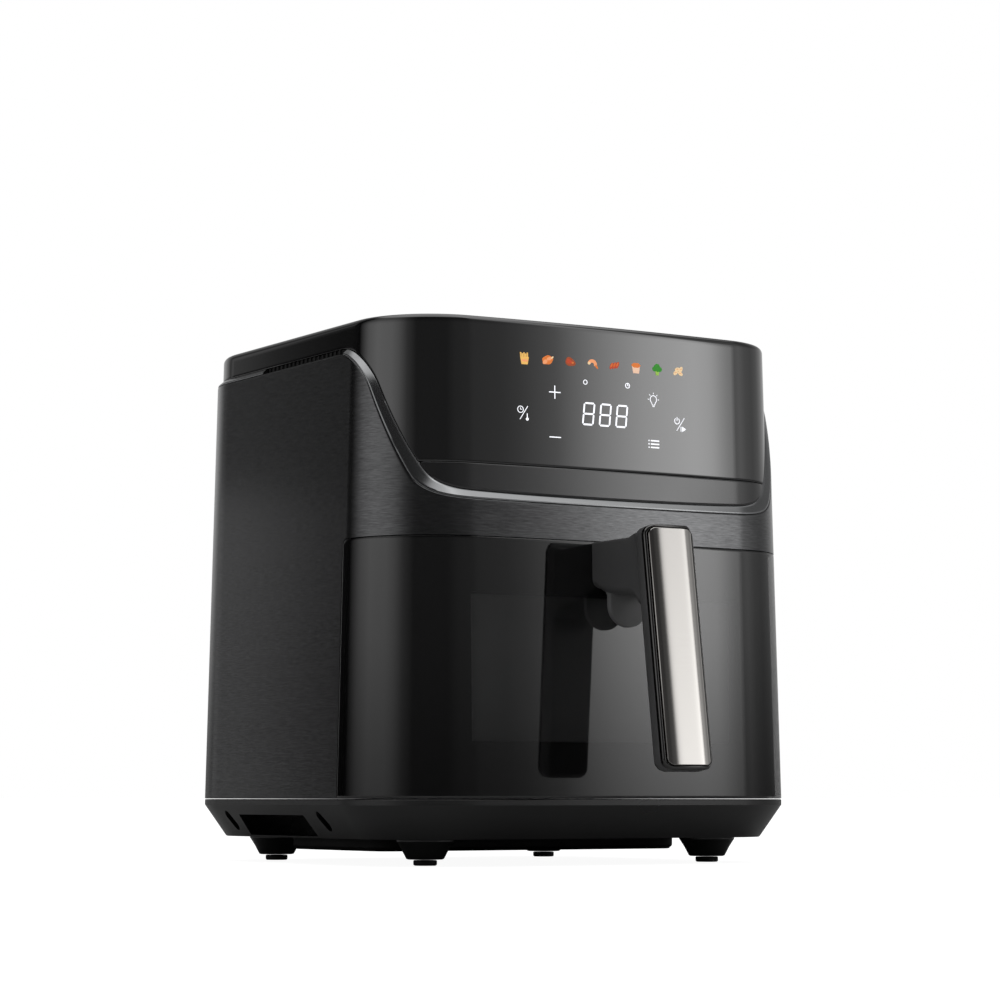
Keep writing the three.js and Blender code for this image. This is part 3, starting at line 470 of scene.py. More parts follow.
def node_tree(name, inputs):
    tree = bpy.data.node_groups.new(name, "GeometryNodeTree")
    tree.interface.new_socket("Geometry", in_out="OUTPUT", socket_type="NodeSocketGeometry")
    for label, kind in inputs:
        tree.interface.new_socket(label, in_out="INPUT", socket_type=kind)
    return tree, tree.nodes.new("NodeGroupInput"), tree.nodes.new("NodeGroupOutput")


def row_tree():
    """Copies of the incoming mesh in a row."""
    name = "Row of bars"
    if name in bpy.data.node_groups:
        return bpy.data.node_groups[name]
    tree, source, result = node_tree(name, [
        ("Bar", "NodeSocketGeometry"), ("Count", "NodeSocketInt"),
        ("Step", "NodeSocketVector"), ("Material", "NodeSocketMaterial")])
    line = tree.nodes.new("GeometryNodeMeshLine")
    line.mode = "OFFSET"
    copies = tree.nodes.new("GeometryNodeInstanceOnPoints")
    real = tree.nodes.new("GeometryNodeRealizeInstances")
    paint = tree.nodes.new("GeometryNodeSetMaterial")
    link = tree.links.new
    link(source.outputs["Count"], line.inputs["Count"])
    link(source.outputs["Step"], line.inputs["Offset"])
    link(line.outputs["Mesh"], copies.inputs["Points"])
    link(source.outputs["Bar"], copies.inputs["Instance"])
    link(copies.outputs["Instances"], real.inputs["Geometry"])
    link(real.outputs["Geometry"], paint.inputs["Geometry"])
    link(source.outputs["Material"], paint.inputs["Material"])
    link(paint.outputs["Geometry"], result.inputs["Geometry"])
    return tree


def perforation_tree():
    """Cuts a grid of rounded slots through the incoming plate."""
    name = "Grid of slots"
    if name in bpy.data.node_groups:
        return bpy.data.node_groups[name]
    tree, source, result = node_tree(name, [
        ("Plate", "NodeSocketGeometry"), ("Columns", "NodeSocketInt"), ("Rows", "NodeSocketInt"),
        ("Width", "NodeSocketFloat"), ("Length", "NodeSocketFloat"),
        ("Centre", "NodeSocketVector"), ("Radius", "NodeSocketFloat"),
        ("Straight", "NodeSocketFloat"), ("Thickness", "NodeSocketFloat"),
        ("Material", "NodeSocketMaterial")])
    nodes, link = tree.nodes, tree.links.new
    places = nodes.new("GeometryNodeMeshGrid")
    link(source.outputs["Width"], places.inputs["Size X"])
    link(source.outputs["Length"], places.inputs["Size Y"])
    link(source.outputs["Columns"], places.inputs["Vertices X"])
    link(source.outputs["Rows"], places.inputs["Vertices Y"])
    moved = nodes.new("GeometryNodeTransform")
    link(places.outputs["Mesh"], moved.inputs["Geometry"])
    link(source.outputs["Centre"], moved.inputs["Translation"])
    line = nodes.new("GeometryNodeCurvePrimitiveLine")
    start = nodes.new("ShaderNodeCombineXYZ")
    end = nodes.new("ShaderNodeCombineXYZ")
    half = nodes.new("ShaderNodeMath")
    half.operation = "MULTIPLY"
    half.inputs[1].default_value = 0.5
    back = nodes.new("ShaderNodeMath")
    back.operation = "MULTIPLY"
    back.inputs[1].default_value = -0.5
    link(source.outputs["Straight"], half.inputs[0])
    link(source.outputs["Straight"], back.inputs[0])
    link(back.outputs[0], start.inputs["Y"])
    link(half.outputs[0], end.inputs["Y"])
    link(start.outputs[0], line.inputs["Start"])
    link(end.outputs[0], line.inputs["End"])
    # A slot with round ends is the hull of two discs.
    disc = nodes.new("GeometryNodeMeshCylinder")
    disc.inputs["Vertices"].default_value = 16
    link(source.outputs["Radius"], disc.inputs["Radius"])
    link(source.outputs["Thickness"], disc.inputs["Depth"])
    ends = nodes.new("GeometryNodeInstanceOnPoints")
    points = nodes.new("GeometryNodeCurveToPoints")
    points.mode = "COUNT"
    points.inputs["Count"].default_value = 2
    link(line.outputs["Curve"], points.inputs["Curve"])
    link(points.outputs["Points"], ends.inputs["Points"])
    link(disc.outputs["Mesh"], ends.inputs["Instance"])
    both = nodes.new("GeometryNodeRealizeInstances")
    link(ends.outputs["Instances"], both.inputs["Geometry"])
    slot = nodes.new("GeometryNodeConvexHull")
    link(both.outputs["Geometry"], slot.inputs["Geometry"])
    slots = nodes.new("GeometryNodeInstanceOnPoints")
    link(moved.outputs["Geometry"], slots.inputs["Points"])
    link(slot.outputs["Convex Hull"], slots.inputs["Instance"])
    solid = nodes.new("GeometryNodeRealizeInstances")
    link(slots.outputs["Instances"], solid.inputs["Geometry"])
    cut = nodes.new("GeometryNodeMeshBoolean")
    cut.operation = "DIFFERENCE"
    link(source.outputs["Plate"], cut.inputs["Mesh 1"])
    link(solid.outputs["Geometry"], cut.inputs["Mesh 2"])
    real = nodes.new("GeometryNodeRealizeInstances")
    link(cut.outputs["Mesh"], real.inputs["Geometry"])
    paint = nodes.new("GeometryNodeSetMaterial")
    link(real.outputs["Geometry"], paint.inputs["Geometry"])
    link(source.outputs["Material"], paint.inputs["Material"])
    link(paint.outputs["Geometry"], result.inputs["Geometry"])
    return tree


def through_nodes(obj, tree, values):
    """Runs the object's mesh through a node tree with these input values, and keeps the result."""
    step = obj.modifiers.new(tree.name, "NODES")
    step.node_group = tree
    for item in tree.interface.items_tree:
        if item.item_type == "SOCKET" and item.in_out == "INPUT" and item.name in values:
            step[item.identifier] = values[item.name]
    return baked(obj)


# Surfaces ------------------------------------------------------------------------------------

def shader_group(name, inputs, outputs):
    tree = bpy.data.node_groups.new(name, "ShaderNodeTree")
    for label, kind, value in inputs:
        socket = tree.interface.new_socket(label, in_out="INPUT", socket_type=kind)
        if value is not None:
            socket.default_value = value
    for label, kind in outputs:
        tree.interface.new_socket(label, in_out="OUTPUT", socket_type=kind)
    return tree, tree.nodes.new("NodeGroupInput"), tree.nodes.new("NodeGroupOutput")


def maths(tree, operation, first, second):
    node = tree.nodes.new("ShaderNodeMath")
    node.operation = operation
    for socket, value in zip(node.inputs, (first, second)):
        if isinstance(value, (int, float)):
            socket.default_value = value
        else:
            tree.links.new(value, socket)
    return node.outputs[0]


def noise_field(tree, vector, scale, detail=2.0, rough=0.5):
    node = tree.nodes.new("ShaderNodeTexNoise")
    node.inputs["Scale"].default_value = scale
    node.inputs["Detail"].default_value = detail
    node.inputs["Roughness"].default_value = rough
    tree.links.new(vector, node.inputs["Vector"])
    return node.outputs["Fac"]


def brushed_grain():
    """Level brush strokes: long along X and Y, fine along Z."""
    name = "Brushed grain"
    if name in bpy.data.node_groups:
        return bpy.data.node_groups[name]
    tree, source, result = shader_group(
        name,
        [("Vector", "NodeSocketVector", None), ("Color", "NodeSocketColor", (0.1, 0.1, 0.1, 1)),
         ("Contrast", "NodeSocketFloat", 0.3), ("Roughness", "NodeSocketFloat", 0.35)],
        [("Color", "NodeSocketColor"), ("Roughness", "NodeSocketFloat"),
         ("Height", "NodeSocketFloat")])
    fields = []
    for stretch, detail in (((130, 130, 2400), 2.0), ((260, 260, 4200), 2.0), ((9, 9, 240), 2.0)):
        place = tree.nodes.new("ShaderNodeMapping")
        place.inputs["Scale"].default_value = stretch
        tree.links.new(source.outputs["Vector"], place.inputs["Vector"])
        fields.append(noise_field(tree, place.outputs["Vector"], 1.0, detail, 0.6))
    strokes = maths(tree, "ADD", maths(tree, "MULTIPLY", fields[0], 0.55),
                    maths(tree, "MULTIPLY", fields[1], 0.45))
    broad = maths(tree, "ADD", maths(tree, "MULTIPLY", strokes, 0.94),
                  maths(tree, "MULTIPLY", fields[2], 0.06))
    centred = maths(tree, "SUBTRACT", broad, 0.5)
    gain = maths(tree, "ADD", maths(tree, "MULTIPLY", maths(
        tree, "MULTIPLY", centred, source.outputs["Contrast"]), 6.0), 1.0)
    tone = tree.nodes.new("ShaderNodeVectorMath")
    tone.operation = "SCALE"
    tree.links.new(source.outputs["Color"], tone.inputs[0])
    tree.links.new(gain, tone.inputs["Scale"])
    tree.links.new(tone.outputs[0], result.inputs["Color"])
    tree.links.new(maths(tree, "ADD", source.outputs["Roughness"], maths(
        tree, "MULTIPLY", centred, 0.12)), result.inputs["Roughness"])
    tree.links.new(strokes, result.inputs["Height"])
    return tree


def moulded_texture():
    """Fine spark-eroded texture of a moulded surface, with a faint broad unevenness."""
    name = "Moulded texture"
    if name in bpy.data.node_groups:
        return bpy.data.node_groups[name]
    tree, source, result = shader_group(
        name,
        [("Vector", "NodeSocketVector", None), ("Color", "NodeSocketColor", (0.01, 0.01, 0.01, 1)),
         ("Roughness", "NodeSocketFloat", 0.5), ("Spread", "NodeSocketFloat", 0.12)],
        [("Color", "NodeSocketColor"), ("Roughness", "NodeSocketFloat"),
         ("Height", "NodeSocketFloat")])
    vector = source.outputs["Vector"]
    fine = noise_field(tree, vector, 2200.0, 2.0, 0.6)
    broad = noise_field(tree, vector, 26.0, 3.0)
    middle = maths(tree, "SUBTRACT", broad, 0.5)
    tree.links.new(maths(tree, "ADD", source.outputs["Roughness"], maths(
        tree, "MULTIPLY", middle, source.outputs["Spread"])), result.inputs["Roughness"])
    tone = tree.nodes.new("ShaderNodeVectorMath")
    tone.operation = "SCALE"
    tree.links.new(source.outputs["Color"], tone.inputs[0])
    tree.links.new(maths(tree, "ADD", maths(tree, "MULTIPLY", middle, 0.5), 1.0),
                   tone.inputs["Scale"])
    tree.links.new(tone.outputs[0], result.inputs["Color"])
    tree.links.new(fine, result.inputs["Height"])
    return tree


def handling_marks():
    """Faint wiped patches on a polished surface: only its roughness changes."""
    name = "Handling marks"
    if name in bpy.data.node_groups:
        return bpy.data.node_groups[name]
    tree, source, result = shader_group(
        name,
        [("Vector", "NodeSocketVector", None), ("Roughness", "NodeSocketFloat", 0.05),
         ("Amount", "NodeSocketFloat", 0.03)],
        [("Roughness", "NodeSocketFloat"), ("Mask", "NodeSocketFloat")])
    place = tree.nodes.new("ShaderNodeMapping")
    place.inputs["Scale"].default_value = (14, 14, 9)
    place.inputs["Rotation"].default_value = (0.3, 0.2, 0.5)
    tree.links.new(source.outputs["Vector"], place.inputs["Vector"])
    cloud = noise_field(tree, place.outputs["Vector"], 1.0, 4.0, 0.55)
    tree.links.new(cloud, result.inputs["Mask"])
    tree.links.new(maths(tree, "ADD", source.outputs["Roughness"], maths(
        tree, "MULTIPLY", cloud, source.outputs["Amount"])), result.inputs["Roughness"])
    return tree


def surface(name, **plain):
    """A new material, its Principled shader with these values, and its object coordinates."""
    material = bpy.data.materials.new(name)
    material.use_nodes = True
    tree = material.node_tree
    shader = tree.nodes["Principled BSDF"]
    for label, value in plain.items():
        shader.inputs[label.replace("_", " ")].default_value = value
    place = tree.nodes.new("ShaderNodeTexCoord")
    return material, tree, shader, place.outputs["Object"]


def placed_group(tree, group, vector, **values):
    node = tree.nodes.new("ShaderNodeGroup")
    node.node_tree = group
    tree.links.new(vector, node.inputs["Vector"])
    for label, value in values.items():
        node.inputs[label].default_value = value
    return node


def relief(tree, shader, height, distance, strength=1.0):
    bump = tree.nodes.new("ShaderNodeBump")
    bump.inputs["Distance"].default_value = distance
    bump.inputs["Strength"].default_value = strength
    tree.links.new(height, bump.inputs["Height"])
    tree.links.new(bump.outputs["Normal"], shader.inputs["Normal"])


def brushed_metal(name, tint, roughness, contrast, depth):
    material, tree, shader, vector = surface(name, Metallic=1.0)
    grain = placed_group(tree, brushed_grain(), vector, Color=tint, Contrast=contrast,
                         Roughness=roughness)
    tree.links.new(grain.outputs["Color"], shader.inputs["Base Color"])
    tree.links.new(grain.outputs["Roughness"], shader.inputs["Roughness"])
    relief(tree, shader, grain.outputs["Height"], depth)
    return material


def moulded_plastic(name, tint, roughness, spread=0.12, depth=0.00002, **plain):
    material, tree, shader, vector = surface(name, **plain)
    skin = placed_group(tree, moulded_texture(), vector, Color=tint, Roughness=roughness,
                        Spread=spread)
    tree.links.new(skin.outputs["Color"], shader.inputs["Base Color"])
    tree.links.new(skin.outputs["Roughness"], shader.inputs["Roughness"])
    relief(tree, shader, skin.outputs["Height"], depth, 0.6)
    return material


def polished(name, tint, roughness, amount=0.03, **plain):
    material, tree, shader, vector = surface(name, Base_Color=tint, **plain)
    marks = placed_group(tree, handling_marks(), vector, Roughness=roughness, Amount=amount)
    tree.links.new(marks.outputs["Roughness"], shader.inputs["Roughness"])
    return material


def glowing(name, tint, strength):
    """Print lit from behind, a little uneven like a diffuser."""
    material, tree, shader, vector = surface(name, Base_Color=tint, Roughness=0.4,
                                             Emission_Strength=strength)
    cloud = noise_field(tree, vector, 900.0, 1.0)
    tone = tree.nodes.new("ShaderNodeMix")
    tone.data_type = "RGBA"
    tree.links.new(cloud, tone.inputs["Factor"])
    tone.inputs["A"].default_value = tint
    tone.inputs["B"].default_value = [c * 0.82 for c in tint[:3]] + [1.0]
    tree.links.new(tone.outputs["Result"], shader.inputs["Emission Color"])
    return material


def finish(name):
    """The material of that name, made on first use."""
    if name in bpy.data.materials:
        return bpy.data.materials[name]
    tints = colours()
    makers = {
        "brushed shell": lambda: brushed_metal(name, tints.shell, 0.19, 0.42, 0.00001),
        "gloss panel": lambda: polished(name, tints.gloss, 0.035, 0.03, IOR=2.1),
        "gloss top": lambda: polished(name, tints.gloss, 0.05, 0.04, IOR=1.6),
        "smoked glass": lambda: polished(name, tints.gloss, 0.03, 0.02, IOR=2.1, Alpha=0.74),
        "glass inside": lambda: polished(name, tints.gloss, 0.1, 0.05, Alpha=0.08),
        "window glass": lambda: polished(name, (0.5, 0.502, 0.505, 1), 0.15, 0.05, IOR=1.8),
        "clear glass": lambda: polished(name, (0.05, 0.052, 0.055, 1), 0.05, 0.05, Alpha=0.35),
        "satin strip": lambda: moulded_plastic(name, tints.strip, 0.18, 0.05, 0.00001, IOR=2.0),
        "matte plastic": lambda: moulded_plastic(name, tints.plastic, 0.25, IOR=1.8),
        "dark plastic": lambda: moulded_plastic(name, tints.plastic, 0.6, 0.15),
        "handle satin": lambda: moulded_plastic(name, tints.handle, 0.4, 0.06, 0.00001, IOR=1.6),
        "trigger satin": lambda: moulded_plastic(name, tints.trigger, 0.45, 0.06, 0.00001),
        "black chrome": lambda: polished(name, tints.bezel, 0.07, 0.03, Metallic=1.0),
        "pearl nickel": lambda: brushed_metal(name, tints.nickel, 0.12, 0.03, 0.0000005),
        "grey trim": lambda: polished(name, tints.trim, 0.16, 0.06, Metallic=1.0),
        "bare steel": lambda: brushed_metal(name, tints.steel, 0.28, 0.12, 0.00001),
        "coated steel": lambda: moulded_plastic(name, tints.coating, 0.34, 0.12, 0.00003),
        "rubber": lambda: moulded_plastic(name, tints.rubber, 0.75, 0.1, 0.00003),
        "ceramic": lambda: moulded_plastic(name, (0.55, 0.52, 0.46, 1), 0.6, 0.1),
        "circuit board": lambda: moulded_plastic(name, (0.012, 0.08, 0.03, 1), 0.4, 0.1),
        "heater sheath": lambda: brushed_metal(name, (0.2, 0.19, 0.185, 1), 0.38, 0.2, 0.00001),
        "white light": lambda: glowing(name, (0.93, 0.95, 1.0, 1), 1.15),
        "potato light": lambda: glowing(name, (0.86, 0.5, 0.13, 1), 0.8),
        "crust light": lambda: glowing(name, (0.75, 0.2, 0.04, 1), 0.75),
        "roast light": lambda: glowing(name, (0.33, 0.065, 0.02, 1), 0.8),
        "prawn light": lambda: glowing(name, (0.9, 0.36, 0.16, 1), 0.8),
        "rib light": lambda: glowing(name, (0.5, 0.06, 0.02, 1), 0.8),
        "cake light": lambda: glowing(name, (0.85, 0.55, 0.42, 1), 0.8),
        "leaf light": lambda: glowing(name, (0.03, 0.25, 0.02, 1), 0.8),
        "stalk light": lambda: glowing(name, (0.3, 0.5, 0.08, 1), 0.8),
        "nut light": lambda: glowing(name, (0.85, 0.62, 0.36, 1), 0.8),
    }
    return makers[name]()


# Stage ---------------------------------------------------------------------------------------

CAMERA_PLACE = (-918.588, -1517.519, 38.431)
CAMERA_YAW = 0.5482865
CAMERA_PITCH = 0.0979912
# Brightness of the studio all round, by bearing in degrees from the front towards the right.
STUDIO = [(-180, 0.60), (-170, 0.40), (-160, 0.12), (-154.6, 0.28), (-153.6, 0.1),
          (-152.8, 0.02), (-141, 0.01), (-132, 0.22), (-122, 0.50), (-106, 0.72),
          (-84, 0.66), (-74, 0.50), (-62, 0.20),
          (-50, 0.07), (-10, 0.07), (2, 0.11), (21, 0.13), (26, 0.21), (29.5, 0.50),
          (33, 1.3), (37, 2.1), (41, 2.55), (42.6, 2.2), (44, 1.0), (46, 0.55), (54, 0.6),
          (66, 0.4), (80, 0.3), (95, 0.35), (112, 0.55), (130, 0.7), (180, 0.60)]
# Share of that brightness by height, as the sine of the elevation.
STUDIO_HEIGHT = [(0.0, 0.16), (0.05, 0.5), (0.09, 0.85), (0.125, 1.0), (0.21, 1.0),
                 (0.34, 0.60), (0.7, 0.45), (1.0, 0.35)]
STUDIO_PEAK = 2.6
OVERHEAD = (0.74, 0.84)  # sines of the elevations between which the light overhead sets in
SIDE_LIGHT_SIZE = (0.22, 0.3)  # metres
SIDE_LIGHT_POWER = 0.04  # watts
SIDE_LIGHT_PLACE = (-0.47, 0.9, 0.17)
SIDE_LIGHT_AIM = (-0.14, 0.14, 0.15)
FLOOR_RADIUS = 30000
FLOOR_DROP = 0.2 * MM  # keeps the floor clear of the pads
FLOOR_SHADE = 0.36
FLOOR_GLOW = 0.94  # only for the camera, so that the floor runs into the backdrop
LENS, SENSOR = 108.0, 36.0


class FRYER_OT_stage(bpy.types.Operator):
    """Camera, pale floor and soft studio light"""
    bl_idname = "fryer.stage"
    bl_label = "Stage"

    def execute(self, context):
        self.camera(context.scene)
        self.studio(context.scene)
        self.side_light(context.scene)
        self.floor()
        context.scene.view_settings.view_transform = "Standard"
        context.scene.view_settings.look = "None"
        return {"FINISHED"}

    def camera(self, scene):
        data = bpy.data.cameras.new("camera")
        data.lens, data.sensor_width = LENS, SENSOR
        data.clip_end = 100.0
        camera = bpy.data.objects.new("camera", data)
        scene.collection.objects.link(camera)
        camera.location = ROW_FRAME @ Vector(CAMERA_PLACE)
        flat = math.cos(CAMERA_PITCH)
        aim = Vector((math.sin(CAMERA_YAW) * flat, math.cos(CAMERA_YAW) * flat,
                      math.sin(CAMERA_PITCH)))
        camera.rotation_euler = aim.to_track_quat("-Z", "Y").to_euler()
        scene.camera = camera

    def studio(self, scene):
        """Soft light whose brightness changes with its bearing, and a white backdrop."""
        world = bpy.data.worlds.new("studio")
        scene.world = world
        world.use_nodes = True
        tree = world.node_tree
        tree.nodes.clear()
        place = tree.nodes.new("ShaderNodeTexCoord")
        split = tree.nodes.new("ShaderNodeSeparateXYZ")
        tree.links.new(place.outputs["Generated"], split.inputs[0])
        bearing = maths(tree, "ARCTAN2", split.outputs["X"],
                        maths(tree, "MULTIPLY", split.outputs["Y"], -1.0))
        share = maths(tree, "ADD", maths(tree, "DIVIDE", bearing, 2 * math.pi), 0.5)
        ramp = tree.nodes.new("ShaderNodeValToRGB")
        tree.links.new(share, ramp.inputs["Fac"])
        self.stops(ramp, [(degrees / 360 + 0.5, value / STUDIO_PEAK)
                          for degrees, value in STUDIO])
        height = tree.nodes.new("ShaderNodeValToRGB")
        tree.links.new(split.outputs["Z"], height.inputs["Fac"])
        self.stops(height, STUDIO_HEIGHT)
        around = maths(tree, "MULTIPLY", maths(
            tree, "MULTIPLY", ramp.outputs["Color"], STUDIO_PEAK), height.outputs["Color"])
        overhead = tree.nodes.new("ShaderNodeMapRange")
        overhead.inputs["From Min"].default_value = OVERHEAD[0]
        overhead.inputs["From Max"].default_value = OVERHEAD[1]
        tree.links.new(split.outputs["Z"], overhead.inputs["Value"])
        light = maths(tree, "ADD", around, overhead.outputs["Result"])
        soft = tree.nodes.new("ShaderNodeBackground")
        tree.links.new(light, soft.inputs["Color"])
        backdrop = tree.nodes.new("ShaderNodeBackground")
        backdrop.inputs["Color"].default_value = (1.0, 1.0, 1.0, 1.0)
        seen = tree.nodes.new("ShaderNodeLightPath")
        either = tree.nodes.new("ShaderNodeMixShader")
        tree.links.new(seen.outputs["Is Camera Ray"], either.inputs["Fac"])
        tree.links.new(soft.outputs[0], either.inputs[1])
        tree.links.new(backdrop.outputs[0], either.inputs[2])
        result = tree.nodes.new("ShaderNodeOutputWorld")
        tree.links.new(either.outputs[0], result.inputs["Surface"])

    def stops(self, ramp, levels):
        elements = ramp.color_ramp.elements
        elements[0].position, elements[1].position = levels[0][0], levels[-1][0]
        elements[0].color = [levels[0][1]] * 3 + [1.0]
        elements[-1].color = [levels[-1][1]] * 3 + [1.0]
        for position, value in levels[1:-1]:
            elements.new(position).color = [value] * 3 + [1.0]

    def side_light(self, scene):
        """A soft light low behind the left side, which grades the brushed wall."""
        data = bpy.data.lights.new("side light", "AREA")
        data.shape = "RECTANGLE"
        data.size, data.size_y = SIDE_LIGHT_SIZE
        data.energy = SIDE_LIGHT_POWER
        light = bpy.data.objects.new("side light", data)
        scene.collection.objects.link(light)
        light.location = SIDE_LIGHT_PLACE
        aim = Vector(SIDE_LIGHT_AIM) - light.location
        light.rotation_euler = aim.to_track_quat("-Z", "Y").to_euler()
        light.visible_camera = False

    def floor(self):
        bm = bmesh.new()
        bmesh.ops.create_circle(bm, cap_ends=True, segments=96, radius=FLOOR_RADIUS)
        floor = to_object(bm, "floor")
        floor.location.z = -FLOOR_DROP
        material = bpy.data.materials.new("pale floor")
        material.use_nodes = True
        tree = material.node_tree
        tree.nodes.clear()
        matt = tree.nodes.new("ShaderNodeBsdfDiffuse")
        matt.inputs["Color"].default_value = (FLOOR_SHADE, FLOOR_SHADE, FLOOR_SHADE, 1)
        lit = tree.nodes.new("ShaderNodeEmission")
        lit.inputs["Strength"].default_value = FLOOR_GLOW
        both = tree.nodes.new("ShaderNodeAddShader")
        tree.links.new(matt.outputs[0], both.inputs[0])
        tree.links.new(lit.outputs[0], both.inputs[1])
        seen = tree.nodes.new("ShaderNodeLightPath")
        either = tree.nodes.new("ShaderNodeMixShader")
        tree.links.new(seen.outputs["Is Camera Ray"], either.inputs["Fac"])
        tree.links.new(matt.outputs[0], either.inputs[1])
        tree.links.new(both.outputs[0], either.inputs[2])
        result = tree.nodes.new("ShaderNodeOutputMaterial")
        tree.links.new(either.outputs[0], result.inputs["Surface"])
        floor.data.materials.append(material)


# Body ----------------------------------------------------------------------------------------

GAP = 0.35          # between pieces that meet
SEAM = -76.0        # where the panel meets the upper housing on each side
DRAWER_SEAM = -75.0
DRAWER_TOP = 177.7
DRAWER_CORNER = 4.5
TRIM_FRONT_END = -70.0
TRIM_REAR_END = 28.0
SHELL_REVEAL = 0.12  # between the shell's edge and the metal trim
CAP_RIM = 9.0       # from the housing's face to the ledge for the top plate
CAP_LEDGE = 3.75    # ledge below the top
SKIRT_TOP = 294.0
EXHAUST_MIDDLE = 210.0
EXHAUST_HALF = (57.65, 21.65)
EXHAUST_HOLE = (54.5, 18.5)  # half sizes of the opening that the louvres cross
INLET_PLACE = 62.0  # mains inlet: to the right of the middle, and above the floor
INLET_HOLE = 9.6
# Side view, (y, z), of the grip recess in the base, and the middle line of each vent beside it.
RECESS = [(50.9, 27.2), (-28.9, 27.2), (-31.7, 15.4), (51.1, 15.4)]
VENTS = (((65.4, 26.3), (63.2, 21.1)), ((-47.6, 26.3), (-50.5, 21.3)))
VENT_RADIUS = 3.0


def front_stops(body, y, extra=()):
    """Stops round the front, from y on the left side to y on the right side."""
    return body.stops(body.side_at(y, -1), body.side_at(y, 1), extra)


def rear_stops(body, y):
    """Stops round the back, from y on the right side to y on the left side."""
    first, last = body.side_at(y, 1), body.side_at(y, -1) + body.around
    marks = [s for s in body.stops() if s > first] + [s + body.around for s in body.stops()]
    return [first] + [s for s in sorted(set(marks)) if first + 0.3 < s < last - 0.3] + [last]


def corner_drop(distance, radius):
    """How far a corner of that radius still drops at this distance from its edge."""
    if distance >= radius:
        return 0.0
    return radius - math.sqrt(max(0.0, radius ** 2 - (radius - distance) ** 2))


def corner_stops(first, last, radius):
    """Close stops where the two upper corners of that radius turn, at first and at last."""
    return [end + sign * radius * (1 - math.cos(step * math.pi / 16))
            for end, sign in ((first, 1), (last, -1)) for step in range(9)]


class FRYER_OT_shell(bpy.types.Operator):
    """Brushed outer shell with the drawer opening and the openings at the back"""
    bl_idname = "fryer.shell"
    bl_label = "Outer shell"

    def execute(self, context):
        body = Body()
        low = body.lip + GAP
        seam = DRAWER_SEAM + GAP
        radius = DRAWER_CORNER + GAP
        ceiling = DRAWER_TOP + GAP
        corner = ceiling - radius
        edge = body.clearance - SHELL_REVEAL

        def top(column):
            return [(inset, body.edge(column, inset, offset)) for inset, offset in (
                (0.0, edge - 1.2), (0.0, edge - 0.5), (0.08, edge - 0.22),
                (0.3, edge - 0.04), (0.5, edge), (body.wall, edge))]

        rows = []
        for distance in rear_stops(body, seam):
            column = body.at(distance)
            section = [(0.3, low), (0.0, low + 0.3), (0.0, low + 1.3), (0.0, corner),
                       *top(column), (body.wall, corner), (body.wall, low)]
            rows.append([body.spot(column, inset, z) for inset, z in section])
        bm = bmesh.new()
        grid(bm, rows, caps=False)
        first, last = body.side_at(seam, -1), body.side_at(seam, 1)
        rows = []
        for distance in body.stops(first, last, corner_stops(first, last, radius)):
            column = body.at(distance)
            z = ceiling - corner_drop(min(distance - first, last - distance), radius)
            section = [(0.0, z), *top(column), (body.wall, z)]
            rows.append([body.spot(column, inset, z) for inset, z in section])
        grid(bm, rows, caps=False)
        bmesh.ops.remove_doubles(bm, verts=bm.verts, dist=1e-3)
        open_edges = [e for e in bm.edges if e.is_boundary]
        bmesh.ops.holes_fill(bm, edges=open_edges, sides=0)
        shell = to_object(bm, "shell")
        half_u, half_v = EXHAUST_HALF
        exhaust = prism(rounded(half_u + GAP, half_v + GAP, 2, 6, (0, EXHAUST_MIDDLE)),
                        "y", 60, 300)
        inlet = turned([(INLET_HOLE, 0), (INLET_HOLE, 120)], 40,
                       turn=Matrix.Translation((INLET_PLACE, 200, INLET_PLACE))
                       @ Matrix.Rotation(math.pi / 2, 4, "X"))
        combine(shell, "DIFFERENCE", [exhaust, inlet])
        settle(shell, finish("brushed shell"), "housing", ["outer_shell"], 28)
        return {"FINISHED"}


def cap_section(body, inset, foot):
    """Section of the gloss cap: outer wall, rounded top edge, ledge for the top plate."""
    top = body.top - 0.4
    ledge = body.top - CAP_LEDGE
    rim = inset + CAP_RIM
    outer = [(inset + 0.25, foot(inset)), (inset + 0.06, foot(inset) + 0.08),
             (inset, foot(inset) + 0.28), (inset, foot(inset) + 1.5), (inset, top - 5.2)]
    for step in range(7):
        angle = math.pi / 2 * step / 6
        outer.append((inset + 3.2 * (1 - math.cos(angle)), top - 3.4 * (1 - math.sin(angle))))
    return outer + [(rim - 0.4, top), (rim, top - 0.4), (rim, ledge), (rim + 5, ledge),
                    (rim + 5, ledge - 1.6), (inset + 2.5, ledge - 1.6),
                    (inset + 2.5, foot(inset + 2.5))]


